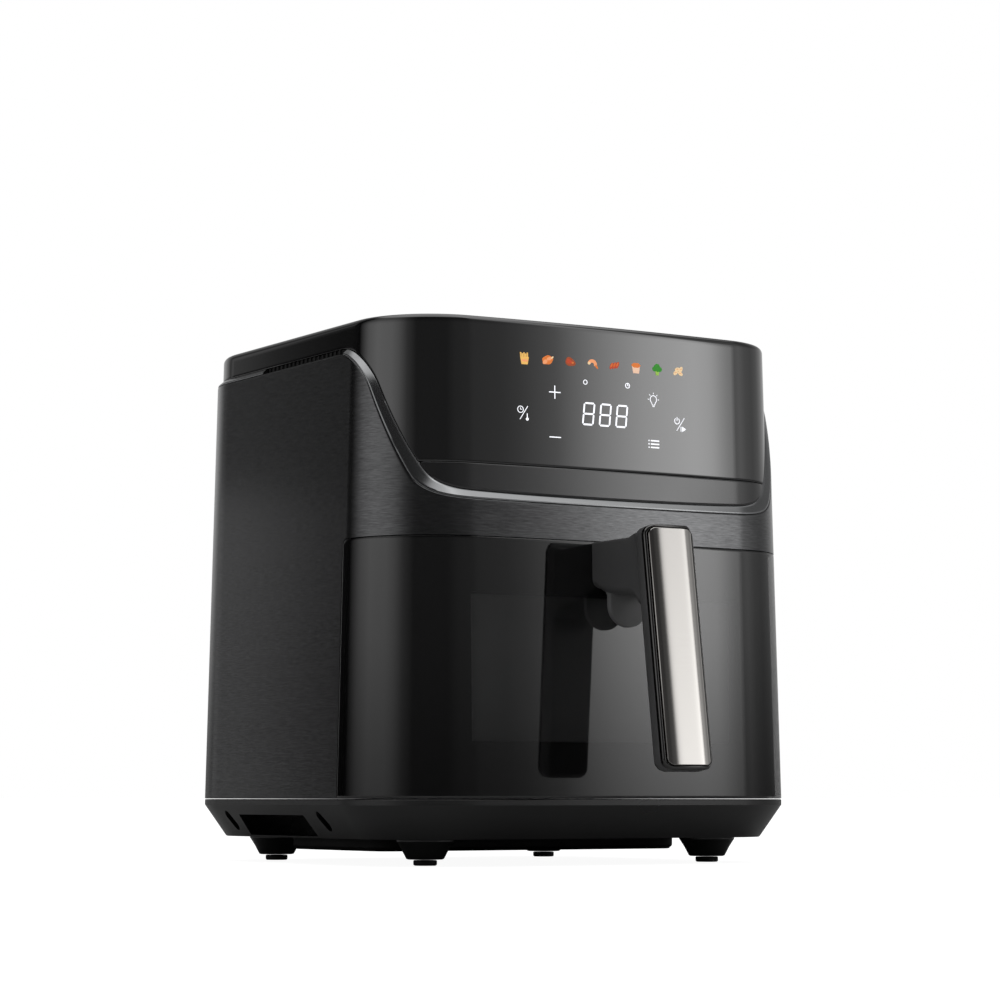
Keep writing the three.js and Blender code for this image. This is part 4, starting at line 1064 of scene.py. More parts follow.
class FRYER_OT_housing(bpy.types.Operator):
    """Gloss upper housing, control panel, satin strip and top plate"""
    bl_idname = "fryer.housing"
    bl_label = "Upper housing and panel"

    def execute(self, context):
        body = Body()
        inset = details().panel_inset / MM
        edge = body.clearance + body.trim + GAP
        strip_top = body.low + details().strip / MM
        self.cap(body, inset, edge)
        self.panel(body, inset, edge, strip_top + 0.2)
        self.strip(body, inset, edge, strip_top)
        self.top_plate(body, inset)
        return {"FINISHED"}

    def cap(self, body, inset, edge):
        rows = []
        for distance in rear_stops(body, SEAM + 0.12):
            column = body.at(distance)
            section = cap_section(body, inset, lambda i: body.edge(column, i, edge))
            rows.append([body.spot(column, i, z) for i, z in section])
        bm = loft(rows)
        skirt = []
        for distance in body.stops()[:-1]:
            column = body.at(distance)
            outer, inner = inset + 2.85, inset + 5.3
            foot = max(body.low - 8, body.edge(column, outer, -8))
            skirt.append([body.spot(column, i, z) for i, z in (
                (outer, foot), (outer, SKIRT_TOP), (inner, SKIRT_TOP), (inner, foot))])
        under = loft(skirt, ring=True)
        bmesh.ops.recalc_face_normals(bm, faces=bm.faces)
        bmesh.ops.recalc_face_normals(under, faces=under.faces)
        obj = to_object(joined(bm, under), "gloss_housing")
        settle(obj, finish("gloss panel"), "housing", ["upper_housing"], 50)

    def crossing(self, body, inset, edge, height):
        """Distances round the outline, left and right, where the shoulder line passes a height."""
        first, last = body.side_at(SEAM, -1), body.side_at(SEAM, 1)
        middle = (first + last) / 2
        found = []
        for near, far in ((first, middle), (last, middle)):
            for _ in range(40):
                half = (near + far) / 2
                if body.edge(body.at(half), inset, edge) > height:
                    near = half
                else:
                    far = half
            found.append((near + far) / 2)
        return found

    def panel(self, body, inset, edge, foot):
        marks = self.crossing(body, inset, edge, foot)
        rows = []
        for distance in front_stops(body, SEAM, marks):
            column = body.at(distance)
            section = cap_section(body, inset,
                                  lambda i: max(body.edge(column, i, edge), foot))
            rows.append([body.spot(column, i, z) for i, z in section])
        obj = to_object(loft(rows), "panel_front")
        settle(obj, finish("gloss panel"), "housing", ["control_panel"], 50)

    def strip(self, body, inset, edge, top):
        first, last = self.crossing(body, inset, edge, top - 1.2)
        radius = 2.0
        extra = [e + s * radius * k / 6 for e, s in ((first, 1), (last, -1)) for k in range(7)]
        rows = []
        for distance in body.stops(first, last, extra):
            column = body.at(distance)
            near = min(distance - first, last - distance)
            foot = body.edge(column, inset, edge)
            head = max(top - corner_drop(near, radius), foot + 0.4)
            rise = head - foot
            section = [(0.35, foot), (0.05, foot + min(0.3, rise * 0.2)),
                       (0.05, foot + min(1.2, rise * 0.4)), (0.05, head - min(1.2, rise * 0.4)),
                       (0.05, head - min(0.3, rise * 0.2)), (0.35, head), (2.5, head),
                       (2.5, foot)]
            rows.append([body.spot(column, inset + i, z) for i, z in section])
        obj = to_object(loft(rows), "satin_strip")
        settle(obj, finish("satin strip"), "housing", ["panel_strip"], 50)

    def top_plate(self, body, inset):
        outer = inset + CAP_RIM + GAP
        rings = []
        for depth, z in ((0.0, body.top - 3.4), (0.0, body.top - 0.6), (0.18, body.top - 0.18),
                         (0.6, body.top), (2.0, body.top), (29, body.top), (30, body.top),
                         (30.4, body.top - 0.35), (31.2, body.top - 0.35), (31.6, body.top),
                         (32.6, body.top)):
            rings.append([body.spot(body.at(s), outer + depth, z) for s in body.stops()[:-1]])
        obj = to_object(loft(rings), "top_cover")
        settle(obj, finish("gloss top"), "housing", ["top_plate"], 25)


class FRYER_OT_trims(bpy.types.Operator):
    """Metal trim along the shoulder line and the slatted air inlets between its two lengths"""
    bl_idname = "fryer.trims"
    bl_label = "Trims and air inlets"

    def execute(self, context):
        body = Body()
        low, high = body.clearance, body.clearance + body.trim
        lengths = (
            ("front_trim", front_stops(body, TRIM_FRONT_END), "trim_front"),
            ("rear_trim", rear_stops(body, TRIM_REAR_END), "trim_rear"),
        )
        face = ((0.6, low), (0.25, low + 0.12), (0.15, low + 0.4), (0.2, low + 0.95),
                (0.45, low + 1.2), (2.35, high - 0.2), (2.65, high), (5.1, high), (5.1, low))
        for name, stops, node in lengths:
            rows = [[body.spot(column, inset, body.edge(column, inset, offset))
                     for inset, offset in face] for column in map(body.at, stops)]
            trim = to_object(loft(rows), name)
            settle(trim, finish("grey trim"), "housing", [node], 24)
        for sign, name in ((-1, "left"), (1, "right")):
            self.inlet(body, sign, name)
        return {"FINISHED"}

    def inlet(self, body, sign, name):
        first, last = TRIM_FRONT_END + GAP, TRIM_REAR_END - GAP
        count = 34
        rows = []
        for step in range(count + 1):
            y = first + (last - first) * step / count
            column = body.at(body.side_at(y, sign))
            rows.append([body.spot(column, inset, body.edge(column, inset, offset))
                         for inset, offset in ((4.2, body.clearance), (4.2, body.clearance + 3.1),
                                               (5.1, body.clearance + 3.1), (5.1, body.clearance))])
        backing = to_object(loft(rows), f"inlet_backing_{name}")
        settle(backing, finish("dark plastic"), "housing", [f"air_inlet_{name}"])
        pitch = 5.0
        start = body.start + 2
        x = sign * (body.side - body.inward(body.high + 4) - 4.1)
        z = body.high + body.clearance + body.trim / 2
        bar = prism(rounded(0.8, 0.8, 0.4, 4, (x, start)), "z", z - 1.5, z + 1.5)
        ribs = to_object(bar, f"inlet_ribs_{name}")
        through_nodes(ribs, row_tree(), {
            "Count": int((last - 2 - start) // pitch) + 1, "Step": (0.0, pitch * MM, 0.0),
            "Material": finish("dark plastic")})
        settle(ribs, None, "housing")


class FRYER_OT_base(bpy.types.Operator):
    """Base with its grip recesses and vents, bottom plate, feet and pads"""
    bl_idname = "fryer.base"
    bl_label = "Base and feet"

    def execute(self, context):
        body = Body()
        stops = body.stops()[:-1]
        lip = body.lip - 3.3
        rings = [[body.upright(body.at(s), inset, z) for s in stops] for inset, z in (
            (14.5, 14.4), (13.2, 14.4), (12.6, 14.8), (0.35, lip - 0.35), (0.0, lip + 0.1),
            (0.0, body.lip - 0.35), (0.35, body.lip), (6.0, body.lip))]
        tray = to_object(loft(rings), "base")
        tools = []
        for sign in (-1, 1):
            span = sorted((sign * (body.side - 38), sign * 200))
            tools.append(prism(RECESS, "x", *span))
            span = sorted((sign * (body.side - 22), sign * 200))
            for high, low in VENTS:
                tools.append(prism(self.slot(*high, *low, VENT_RADIUS), "x", *span))
        combine(tray, "DIFFERENCE", tools)
        settle(tray, finish("matte plastic"), "housing", ["base_tray"], 28)
        plate = refined("bottom_plate", "underside", 0.35)
        settle(plate, finish("dark plastic"), "housing", ["bottom_plate"])
        self.feet()
        return {"FINISHED"}

    def slot(self, y0, z0, y1, z1, radius):
        """Outline of a slanted slot with round ends."""
        tilt = math.atan2(y0 - y1, z0 - z1)
        points = []
        for (y, z), base in (((y0, z0), 0.0), ((y1, z1), math.pi)):
            for step in range(9):
                angle = base + math.pi * step / 8 - tilt
                points.append((y + radius * math.cos(angle), z + radius * math.sin(angle)))
        return points

    def feet(self):
        post = [(0, 3.35), (9.3, 3.35), (10.3, 3.7), (10.75, 4.5), (12.4, 7.6), (12.6, 8.1),
                (15.3, 12.4), (15.9, 13.1), (15.9, 14.0), (0, 14.0)]
        pad = [(0, 0), (5.6, 0), (6.2, 0.25), (6.5, 0.8), (6.5, 2.6), (6.1, 3.0), (0, 3.0)]
        for end in ("front", "rear"):
            for side in ("left", "right"):
                low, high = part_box(f"foot_{end}_{side}")
                centre = ((low.x + high.x) / 2 / MM, (low.y + high.y) / 2 / MM - BODY_SHIFT)
                foot = to_object(turned(post, 56, centre), f"leg_{end}_{side}")
                settle(foot, finish("matte plastic"), "housing",
                       [f"foot_{end}_{side}"], 24)
                sole = to_object(turned(pad, 40, centre), f"sole_{end}_{side}")
                settle(sole, finish("rubber"), "housing",
                       [f"foot_pad_{end}_{side}"], 30)


class FRYER_OT_back(bpy.types.Operator):
    """Exhaust grille and mains inlet on the back"""
    bl_idname = "fryer.back"
    bl_label = "Back"

    def execute(self, context):
        body = Body()
        count = details().louvres
        middle = EXHAUST_MIDDLE
        half_height = EXHAUST_HOLE[1]
        frame_ring = [rounded(*half, radius, 6, (0, middle))
                      for half, radius in ((EXHAUST_HALF, 2.0), (EXHAUST_HOLE, 1.2))]
        rings = []
        for loop, depth in ((0, -4.6), (0, -0.9), (0, -0.5), (1, -0.5), (1, -0.9), (1, -4.6)):
            rings.append([Vector((x, depth, z)) for x, z in frame_ring[loop]])
        bm = loft(rings, ring=True)
        bmesh.ops.recalc_face_normals(bm, faces=bm.faces)
        post = prism(rounded(2.2, 1.6, 0.5, 3, (0, -2.5)), "z",
                     middle - half_height - 0.5, middle + half_height + 0.5)
        border = joined(bm, post)
        self.lean(border, body)
        border = to_object(border, "exhaust_frame")
        settle(border, finish("matte plastic"), "housing", ["exhaust_grille"])
        pitch = 2 * half_height / (count + 1)
        foot = middle - half_height + pitch
        bar = prism([(-4.4, foot - 1.4), (-0.8, foot + 0.2), (-0.8, foot + 1.5),
                     (-4.4, foot - 0.1)], "x", -55, 55)
        self.lean(bar, body)
        bars = to_object(bar, "exhaust_louvres")
        through_nodes(bars, row_tree(), {
            "Count": count, "Step": (0.0, -pitch * body.slant * MM, pitch * MM),
            "Material": finish("matte plastic")})
        settle(bars, None, "housing")
        self.inlet(body)
        return {"FINISHED"}

    def lean(self, bm, body):
        for vert in bm.verts:
            vert.co.y += body.rear_y(vert.co.z)

    def inlet(self, body):
        face = body.rear_y(49) + GAP
        turn = (Matrix.Translation((INLET_PLACE, face, INLET_PLACE))
                @ Matrix.Rotation(-math.pi / 2, 4, "X"))
        profile = [(4.6, -9), (9.0, -9), (9.0, 0.0), (13.0, 0.0), (13.0, 1.6), (12.4, 2.4),
                   (11.4, 2.6), (8.4, 2.6), (8.0, 2.9), (5.6, 3.0), (4.9, 2.7), (4.6, 2.2)]
        steps = 56
        angles = [2 * math.pi * i / steps for i in range(steps)]
        rings = [[turn @ Vector((radius * math.cos(angle), radius * math.sin(angle), z))
                  for angle in angles] for radius, z in profile]
        gland = to_object(loft(rings, ring=True), "mains_gland")
        settle(gland, finish("matte plastic"), "housing", ["cord_inlet"], 30)


# Display -------------------------------------------------------------------------------------

def stroke(points, width, closed=False):
    """Outline strips of a line of that width: a list of four-sided patches along it."""
    patches = []
    count = len(points)
    pairs = [(i, (i + 1) % count) for i in range(count if closed else count - 1)]
    sides = []
    for i in range(count):
        before = points[i - 1] if closed or i else points[i]
        after = points[(i + 1) % count] if closed or i < count - 1 else points[i]
        along = Vector((after[0] - before[0], after[1] - before[1])).normalized()
        across = Vector((-along.y, along.x)) * width / 2
        sides.append(((points[i][0] + across.x, points[i][1] + across.y),
                      (points[i][0] - across.x, points[i][1] - across.y)))
    for i, j in pairs:
        patches.append([sides[i][0], sides[j][0], sides[j][1], sides[i][1]])
    return patches


def arc_points(x, z, radius, first, last, steps=20):
    return [(x + radius * math.cos(math.radians(first + (last - first) * i / steps)),
             z + radius * math.sin(math.radians(first + (last - first) * i / steps)))
            for i in range(steps + 1)]


def blob(x, z, half_u, half_v, turn=0.0, bumps=0, depth=0.0, steps=36):
    """A closed soft shape: an ellipse with some bumps on its rim."""
    points = []
    for i in range(steps):
        angle = 2 * math.pi * i / steps
        reach = 1 + depth * math.cos(bumps * angle)
        u, v = half_u * reach * math.cos(angle), half_v * reach * math.sin(angle)
        points.append((x + u * math.cos(turn) - v * math.sin(turn),
                       z + u * math.sin(turn) + v * math.cos(turn)))
    return points


class FRYER_OT_display(bpy.types.Operator):
    """Lit figures, symbols and food pictures on the panel's face"""
    bl_idname = "fryer.display"
    bl_label = "Display"

    def execute(self, context):
        self.body = Body()
        self.inset = details().panel_inset / MM
        self.prints("display_figures", [(p, "white light") for p in self.figures()])
        self.prints("display_symbols", [(p, "white light") for p in self.symbols()])
        self.prints("display_foods", self.foods())
        return {"FINISHED"}

    def prints(self, name, shapes):
        """Thin lit shapes just proud of the panel, later ones over earlier ones."""
        bm = bmesh.new()
        order = []
        for rank, (outline, look) in enumerate(shapes):
            if look not in order:
                order.append(look)
            proud = 0.04 + 0.002 * rank
            front = [bm.verts.new((x, self.body.front_y(x, z, self.inset - proud), z))
                     for x, z in outline]
            back = [bm.verts.new((x, self.body.front_y(x, z, self.inset + 0.05), z))
                    for x, z in outline]
            faces = [bm.faces.new(front), bm.faces.new(list(reversed(back)))]
            for i in range(len(outline)):
                j = (i + 1) % len(outline)
                faces.append(bm.faces.new((front[j], front[i], back[i], back[j])))
            for face in faces:
                face.material_index = order.index(look)
            bmesh.ops.recalc_face_normals(bm, faces=faces)
        bmesh.ops.transform(bm, matrix=ROW_FRAME, verts=bm.verts)
        obj = new_object(bm, name)
        for look in order:
            obj.data.materials.append(finish(look))
        settle(obj, None, "housing")

    def figures(self):
        """Three seven-segment figures, slanted a little."""
        width, half, thick, cut = 6.6, 6.0, 1.0, 0.2
        middle, slant = 249.3, 0.115
        shapes = []
        for left in (-17.6, -6.6, 4.4):
            def bar(x0, z0, x1, z1):
                along = Vector((x1 - x0, z1 - z0)).normalized()
                across = Vector((-along.y, along.x)) * thick / 2
                a = Vector((x0, z0)) + along * cut
                b = Vector((x1, z1)) - along * cut
                inner = along * thick / 2
                corners = [a, a + inner + across, b - inner + across, b, b - inner - across,
                           a + inner - across]
                shapes.append([(left + p.x + slant * (p.y + half), middle + p.y)
                               for p in corners])
            for z in (-half, 0.0, half):
                bar(0.0, z, width, z)
            for x in (0.0, width):
                bar(x, -half, x, 0.0)
                bar(x, 0.0, x, half)
        return shapes

    def symbols(self):
        thin, line = 0.36, 0.42
        shapes = []
        # plus and minus
        shapes += stroke([(-39.2, 260.0), (-31.8, 260.0)], 0.6)
        shapes += stroke([(-35.5, 256.3), (-35.5, 263.7)], 0.6)
        shapes += stroke([(-39.3, 234.9), (-31.9, 234.9)], 0.6)
        # lamp
        x, z = 30.3, 260.4
        shapes += stroke(arc_points(x, z, 2.2, -50, 230), line)
        shapes += stroke([(x - 1.4, z - 1.7), (x - 0.75, z - 3.2), (x + 0.75, z - 3.2),
                          (x + 1.4, z - 1.7)], line)
        shapes += stroke([(x - 0.7, z - 4.0), (x + 0.7, z - 4.0)], line)
        for degrees in (0, 45, 90, 135, 180):
            dx, dz = math.cos(math.radians(degrees)), math.sin(math.radians(degrees))
            shapes += stroke([(x + 3.0 * dx, z + 3.0 * dz), (x + 3.9 * dx, z + 3.9 * dz)], thin)
        # list
        for step in (-1, 0, 1):
            shapes += stroke([(28.0, 235 + 1.9 * step), (33.8, 235 + 1.9 * step)], 0.75)
            shapes += stroke([(26.4, 235 + 1.9 * step), (27.1, 235 + 1.9 * step)], 0.75)
        # on and start
        x, z = 48.9, 247.3
        shapes += stroke([(x - 2.6, z - 3.6), (x + 2.9, z + 3.9)], thin)
        shapes += stroke(arc_points(x - 2.3, z + 2.0, 1.7, 125, 415), line)
        shapes += stroke([(x - 2.3, z + 2.0), (x - 2.3, z + 4.2)], line)
        shapes += stroke([(x + 0.4, z - 3.9), (x + 0.4, z - 1.1)], line)
        shapes.append([(x + 1.3, z - 4.0), (x + 3.9, z - 2.5), (x + 1.3, z - 1.0)])
        # time and heat
        x, z = -55.5, 247.2
        shapes += stroke([(x - 2.4, z - 3.6), (x + 2.6, z + 3.9)], thin)
        shapes += stroke(arc_points(x - 2.0, z + 1.9, 1.8, 0, 360)[:-1], thin, True)
        shapes += stroke([(x - 2.0, z + 2.9), (x - 2.0, z + 1.9), (x - 1.2, z + 1.9)], 0.36)
        shapes += stroke([(x + 2.2, z - 0.2), (x + 2.2, z - 2.6)], line)
        shapes.append(blob(x + 2.2, z - 3.3, 0.85, 0.85, steps=16))
        # small marks over the figures: a ring and a clock
        shapes += stroke(arc_points(-15.6, 267.0, 1.2, 0, 360)[:-1], thin, True)
        shapes += stroke(arc_points(12.6, 267.0, 1.4, 0, 360)[:-1], thin, True)
        shapes += stroke([(12.6, 267.9), (12.6, 267.0), (13.3, 267.0)], 0.34)
        return shapes

    def foods(self):
        """Eight simple pictures of food in a row."""
        z = 277.7
        first, pitch = -54.5, 14.63
        x = [first + pitch * i for i in range(8)]
        shapes = []
        for step in range(5):  # chips in a tub
            shapes.append(([(x[0] - 2.6 + step, z), (x[0] - 1.8 + step, z),
                            (x[0] - 2.0 + step * 1.05, z + 3.2 - (step % 2) * 0.6),
                            (x[0] - 2.9 + step * 1.05, z + 3.2 - (step % 2) * 0.6)],
                           "potato light"))
        shapes.append(([(x[0] - 2.0, z - 3.4), (x[0] + 1.9, z - 3.4), (x[0] + 2.7, z + 0.8),
                        (x[0] - 2.8, z + 0.8)], "potato light"))
        shapes.append((stroke([(x[0] - 1.9, z - 1.3), (x[0] + 1.9, z - 1.3)], 1.2)[0],
                       "prawn light"))
        # roast bird
        shapes.append((blob(x[1], z, 3.5, 2.5, 0.25, 5, 0.05), "crust light"))
        shapes.append((blob(x[1] - 1.6, z - 1.1, 1.7, 1.1, 0.6), "prawn light"))
        shapes.append((blob(x[1] + 1.2, z + 0.8, 1.7, 0.9, 0.3), "prawn light"))
        shapes.append((blob(x[1] + 3.1, z + 1.6, 0.9, 0.45, 0.7), "nut light"))
        # steak
        shapes.append((blob(x[2], z, 3.3, 2.4, -0.3, 3, 0.1), "roast light"))
        shapes.append((blob(x[2] - 0.6, z + 0.2, 2.0, 1.3, -0.3, 3, 0.1), "rib light"))
        shapes.append((blob(x[2] + 1.6, z - 0.4, 0.7, 0.5), "crust light"))
        # prawn
        for patch in stroke(arc_points(x[3] - 0.2, z - 0.6, 2.2, 160, -20, 14), 1.9):
            shapes.append((patch, "prawn light"))
        shapes.append((blob(x[3] + 2.7, z - 1.6, 1.3, 0.6, -0.9), "crust light"))
        shapes.append((blob(x[3] - 2.3, z + 0.2, 0.9, 0.8), "nut light"))
        # ribs
        for step in range(3):
            shapes.append((blob(x[4] - 1.9 + 1.9 * step, z - 0.3 + 0.35 * step, 1.0, 2.1, -0.5),
                           "rib light"))
            shapes.append((blob(x[4] - 1.9 + 1.9 * step, z + 0.1 + 0.35 * step, 0.35, 1.3, -0.5),
                           "crust light"))
        # small cake
        shapes.append(([(x[5] - 2.0, z - 3.2), (x[5] + 2.0, z - 3.2), (x[5] + 2.7, z + 0.9),
                        (x[5] - 2.7, z + 0.9)], "cake light"))
        shapes.append((blob(x[5], z + 1.3, 3.0, 1.4, 0.0, 6, 0.05), "crust light"))
        for step in (-1, 0, 1):
            shapes.append((stroke([(x[5] + step * 1.2, z - 3.0), (x[5] + step * 1.5, z + 0.1)],
                                  0.3)[0], "nut light"))
        # broccoli
        shapes.append(([(x[6] - 0.9, z - 3.3), (x[6] + 0.9, z - 3.3), (x[6] + 1.7, z - 0.2),
                        (x[6] - 1.4, z - 0.2)], "stalk light"))
        for dx, dz, size in ((-1.7, 0.3, 1.6), (1.7, 0.2, 1.6), (0.0, 1.5, 2.0), (0.3, -0.1, 1.4)):
            shapes.append((blob(x[6] + dx, z + dz, size, size * 0.9, 0.0, 7, 0.08), "leaf light"))
        # nuts
        for dx, dz, turn in ((-1.7, -0.8, 0.7), (1.6, -1.0, -0.5), (-0.4, 1.2, 0.2),
                             (2.0, 1.3, 1.1)):
            shapes.append((blob(x[7] + dx, z + dz, 1.7, 1.15, turn, 2, 0.06), "nut light"))
            shapes.append((stroke([(x[7] + dx - 0.7, z + dz), (x[7] + dx + 0.7, z + dz + 0.2)],
                                  0.25)[0], "crust light"))
        return shapes


# Drawer --------------------------------------------------------------------------------------

INNER_AXIS_Y = -40.0  # faces of the drawer front that look towards this line are its inside


class FRYER_OT_drawer(bpy.types.Operator):
    """Gloss drawer front, the frame behind it and its window"""
    bl_idname = "fryer.drawer"
    bl_label = "Drawer front"

    def execute(self, context):
        body = Body()
        thickness = details().glass / MM
        low = body.lip + GAP
        first, last = body.side_at(DRAWER_SEAM, -1), body.side_at(DRAWER_SEAM, 1)
        soft = 0.55
        rows = []
        for distance in body.stops(first, last, corner_stops(first, last, DRAWER_CORNER)):
            near = min(distance - first, last - distance)
            top = DRAWER_TOP - corner_drop(near, DRAWER_CORNER)
            bottom = low + corner_drop(near, 0.6)
            pull = corner_drop(near, soft)
            section = [(soft, bottom), (soft * 0.3, bottom + soft * 0.3), (0.0, bottom + soft),
                       (0.0, bottom + 3 * soft), (0.0, top - 3 * soft), (0.0, top - soft),
                       (soft * 0.3, top - soft * 0.3), (soft, top), (thickness, top),
                       (thickness, bottom)]
            column = body.at(distance)
            rows.append([body.spot(column, max(inset, min(pull, thickness)), z)
                         for inset, z in section])
        front = to_object(loft(rows), "drawer_front")
        front.data.materials.append(finish("smoked glass"))
        front.data.materials.append(finish("glass inside"))
        for face in front.data.polygons:
            centre = Vector(face.center) / MM - Vector((0, BODY_SHIFT, 0))
            outward = Vector((centre.x / 2, centre.y - INNER_AXIS_Y, 0))
            face.material_index = int(face.normal.dot(outward) < 0)
        smooth(front, 30)
        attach(front, "drawer")
        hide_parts("drawer_glass")
        frame_back = refined("drawer_frame", "drawer_backing", 0)
        settle(frame_back, finish("dark plastic"), "drawer", ["drawer_frame"], 25)
        pane_low, pane_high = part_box("window_pane")
        self.pane(pane_low, pane_high)
        gasket = refined("window_gasket", "window_seal", 0.4)
        settle(gasket, finish("rubber"), "drawer", ["window_gasket"])
        return {"FINISHED"}

    def pane(self, low, high):
        middle = (low + high) / 2 / MM
        half = (high - low) / 2 / MM
        rings = []
        for inset, y in ((0.4, low.y / MM), (0.0, low.y / MM + 0.4),
                         (0.0, high.y / MM - 0.4), (0.4, high.y / MM)):
            rings.append([Vector((x, y - BODY_SHIFT, z)) for x, z in rounded(
                half.x - inset, half.z - inset, 2.0, 6, (middle.x, middle.z))])
        pane = to_object(loft(rings), "window_glass")
        settle(pane, finish("window glass"), "drawer", ["window_pane"])


class FRYER_OT_basket(bpy.types.Operator):
    """Coated basket with its window, crisper plate and bumpers"""
    bl_idname = "fryer.basket"
    bl_label = "Basket and crisper plate"

    def execute(self, context):
        basket = refined("basket", "coated_basket", 0.35, 50)
        settle(basket, finish("coated steel"), "drawer", ["basket"], 35)
        pane = refined("basket_window", "basket_pane", 0.25)
        settle(pane, finish("clear glass"), "drawer", ["basket_window"])
        self.crisper()
        for side in ("front", "rear", "left", "right"):
            bumper = refined(f"crisper_bumper_{side}", f"bumper_{side}", 0.5)
            settle(bumper, finish("rubber"), "crisper", [f"crisper_bumper_{side}"])
        return {"FINISHED"}

    def crisper(self):
        """A plate with rolled edges on four feet; its slots are cut by the node tree."""
        low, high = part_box("crisper_plate")
        centre = (low + high) / 2 / MM
        half = (high - low) / 2 / MM
        top = high.z / MM
        thickness, corner = 2.4, 27.0
        leg_inset = (25.8, 21.8)  # from the plate's sides and ends to the middles of its feet
        slot_inset = (41, 34)  # from the plate's sides and ends to the middles of the outer slots
        middle_y = centre.y - BODY_SHIFT
        rings = []
        for inset, z in ((0.6, top - thickness), (0.0, top - thickness + 0.5), (0.0, top - 0.5),
                         (0.6, top)):
            rings.append([Vector((x, y, z)) for x, y in rounded(
                half.x - inset, half.y - inset, corner - inset, 12, (centre.x, middle_y))])
        plate = to_object(loft(rings), "crisper_tray")
        values = {
            "Columns": details().crisper_columns, "Rows": details().crisper_rows,
            "Width": 2 * (half.x - slot_inset[0]) * MM,
            "Length": 2 * (half.y - slot_inset[1]) * MM,
            "Centre": (centre.x * MM, centre.y * MM, (top - thickness / 2) * MM),
            "Radius": 2.5 * MM, "Straight": 17 * MM, "Thickness": 6 * MM,
            "Material": finish("coated steel"),
        }
        through_nodes(plate, perforation_tree(), values)
        legs = []
        foot = low.z / MM
        for sign_x in (-1, 1):
            for sign_y in (-1, 1):
                x = sign_x * (half.x - leg_inset[0])
                y = middle_y + sign_y * (half.y - leg_inset[1])
                legs.append(turned([(0, foot), (4.2, foot), (4.8, foot + 0.6),
                                    (5.0, top - thickness + 0.3), (0, top - thickness + 0.3)],
                                   28, (x, y)))
        combine(plate, "UNION", legs)
        settle(plate, finish("coated steel"), "crisper", ["crisper_plate"], 30)


# Handle --------------------------------------------------------------------------------------

HANDLE_FACE_Y = -199.95
HANDLE_MIDDLE = 118.0
BRACKET_HALF = 15.0
PIVOT_OUT = 12.7    # the trigger's pin: out from the drawer front
PIVOT_DOWN = 27.7   # and below the top of the drawer
POCKET_HALF = 12.85  # the trigger's pocket in the bracket: half its width
POCKET_REACH = 4.6  # and from the pin to its walls and ceiling
GRIP_FALL = 2.4     # how far the grip's face falls back at its sides


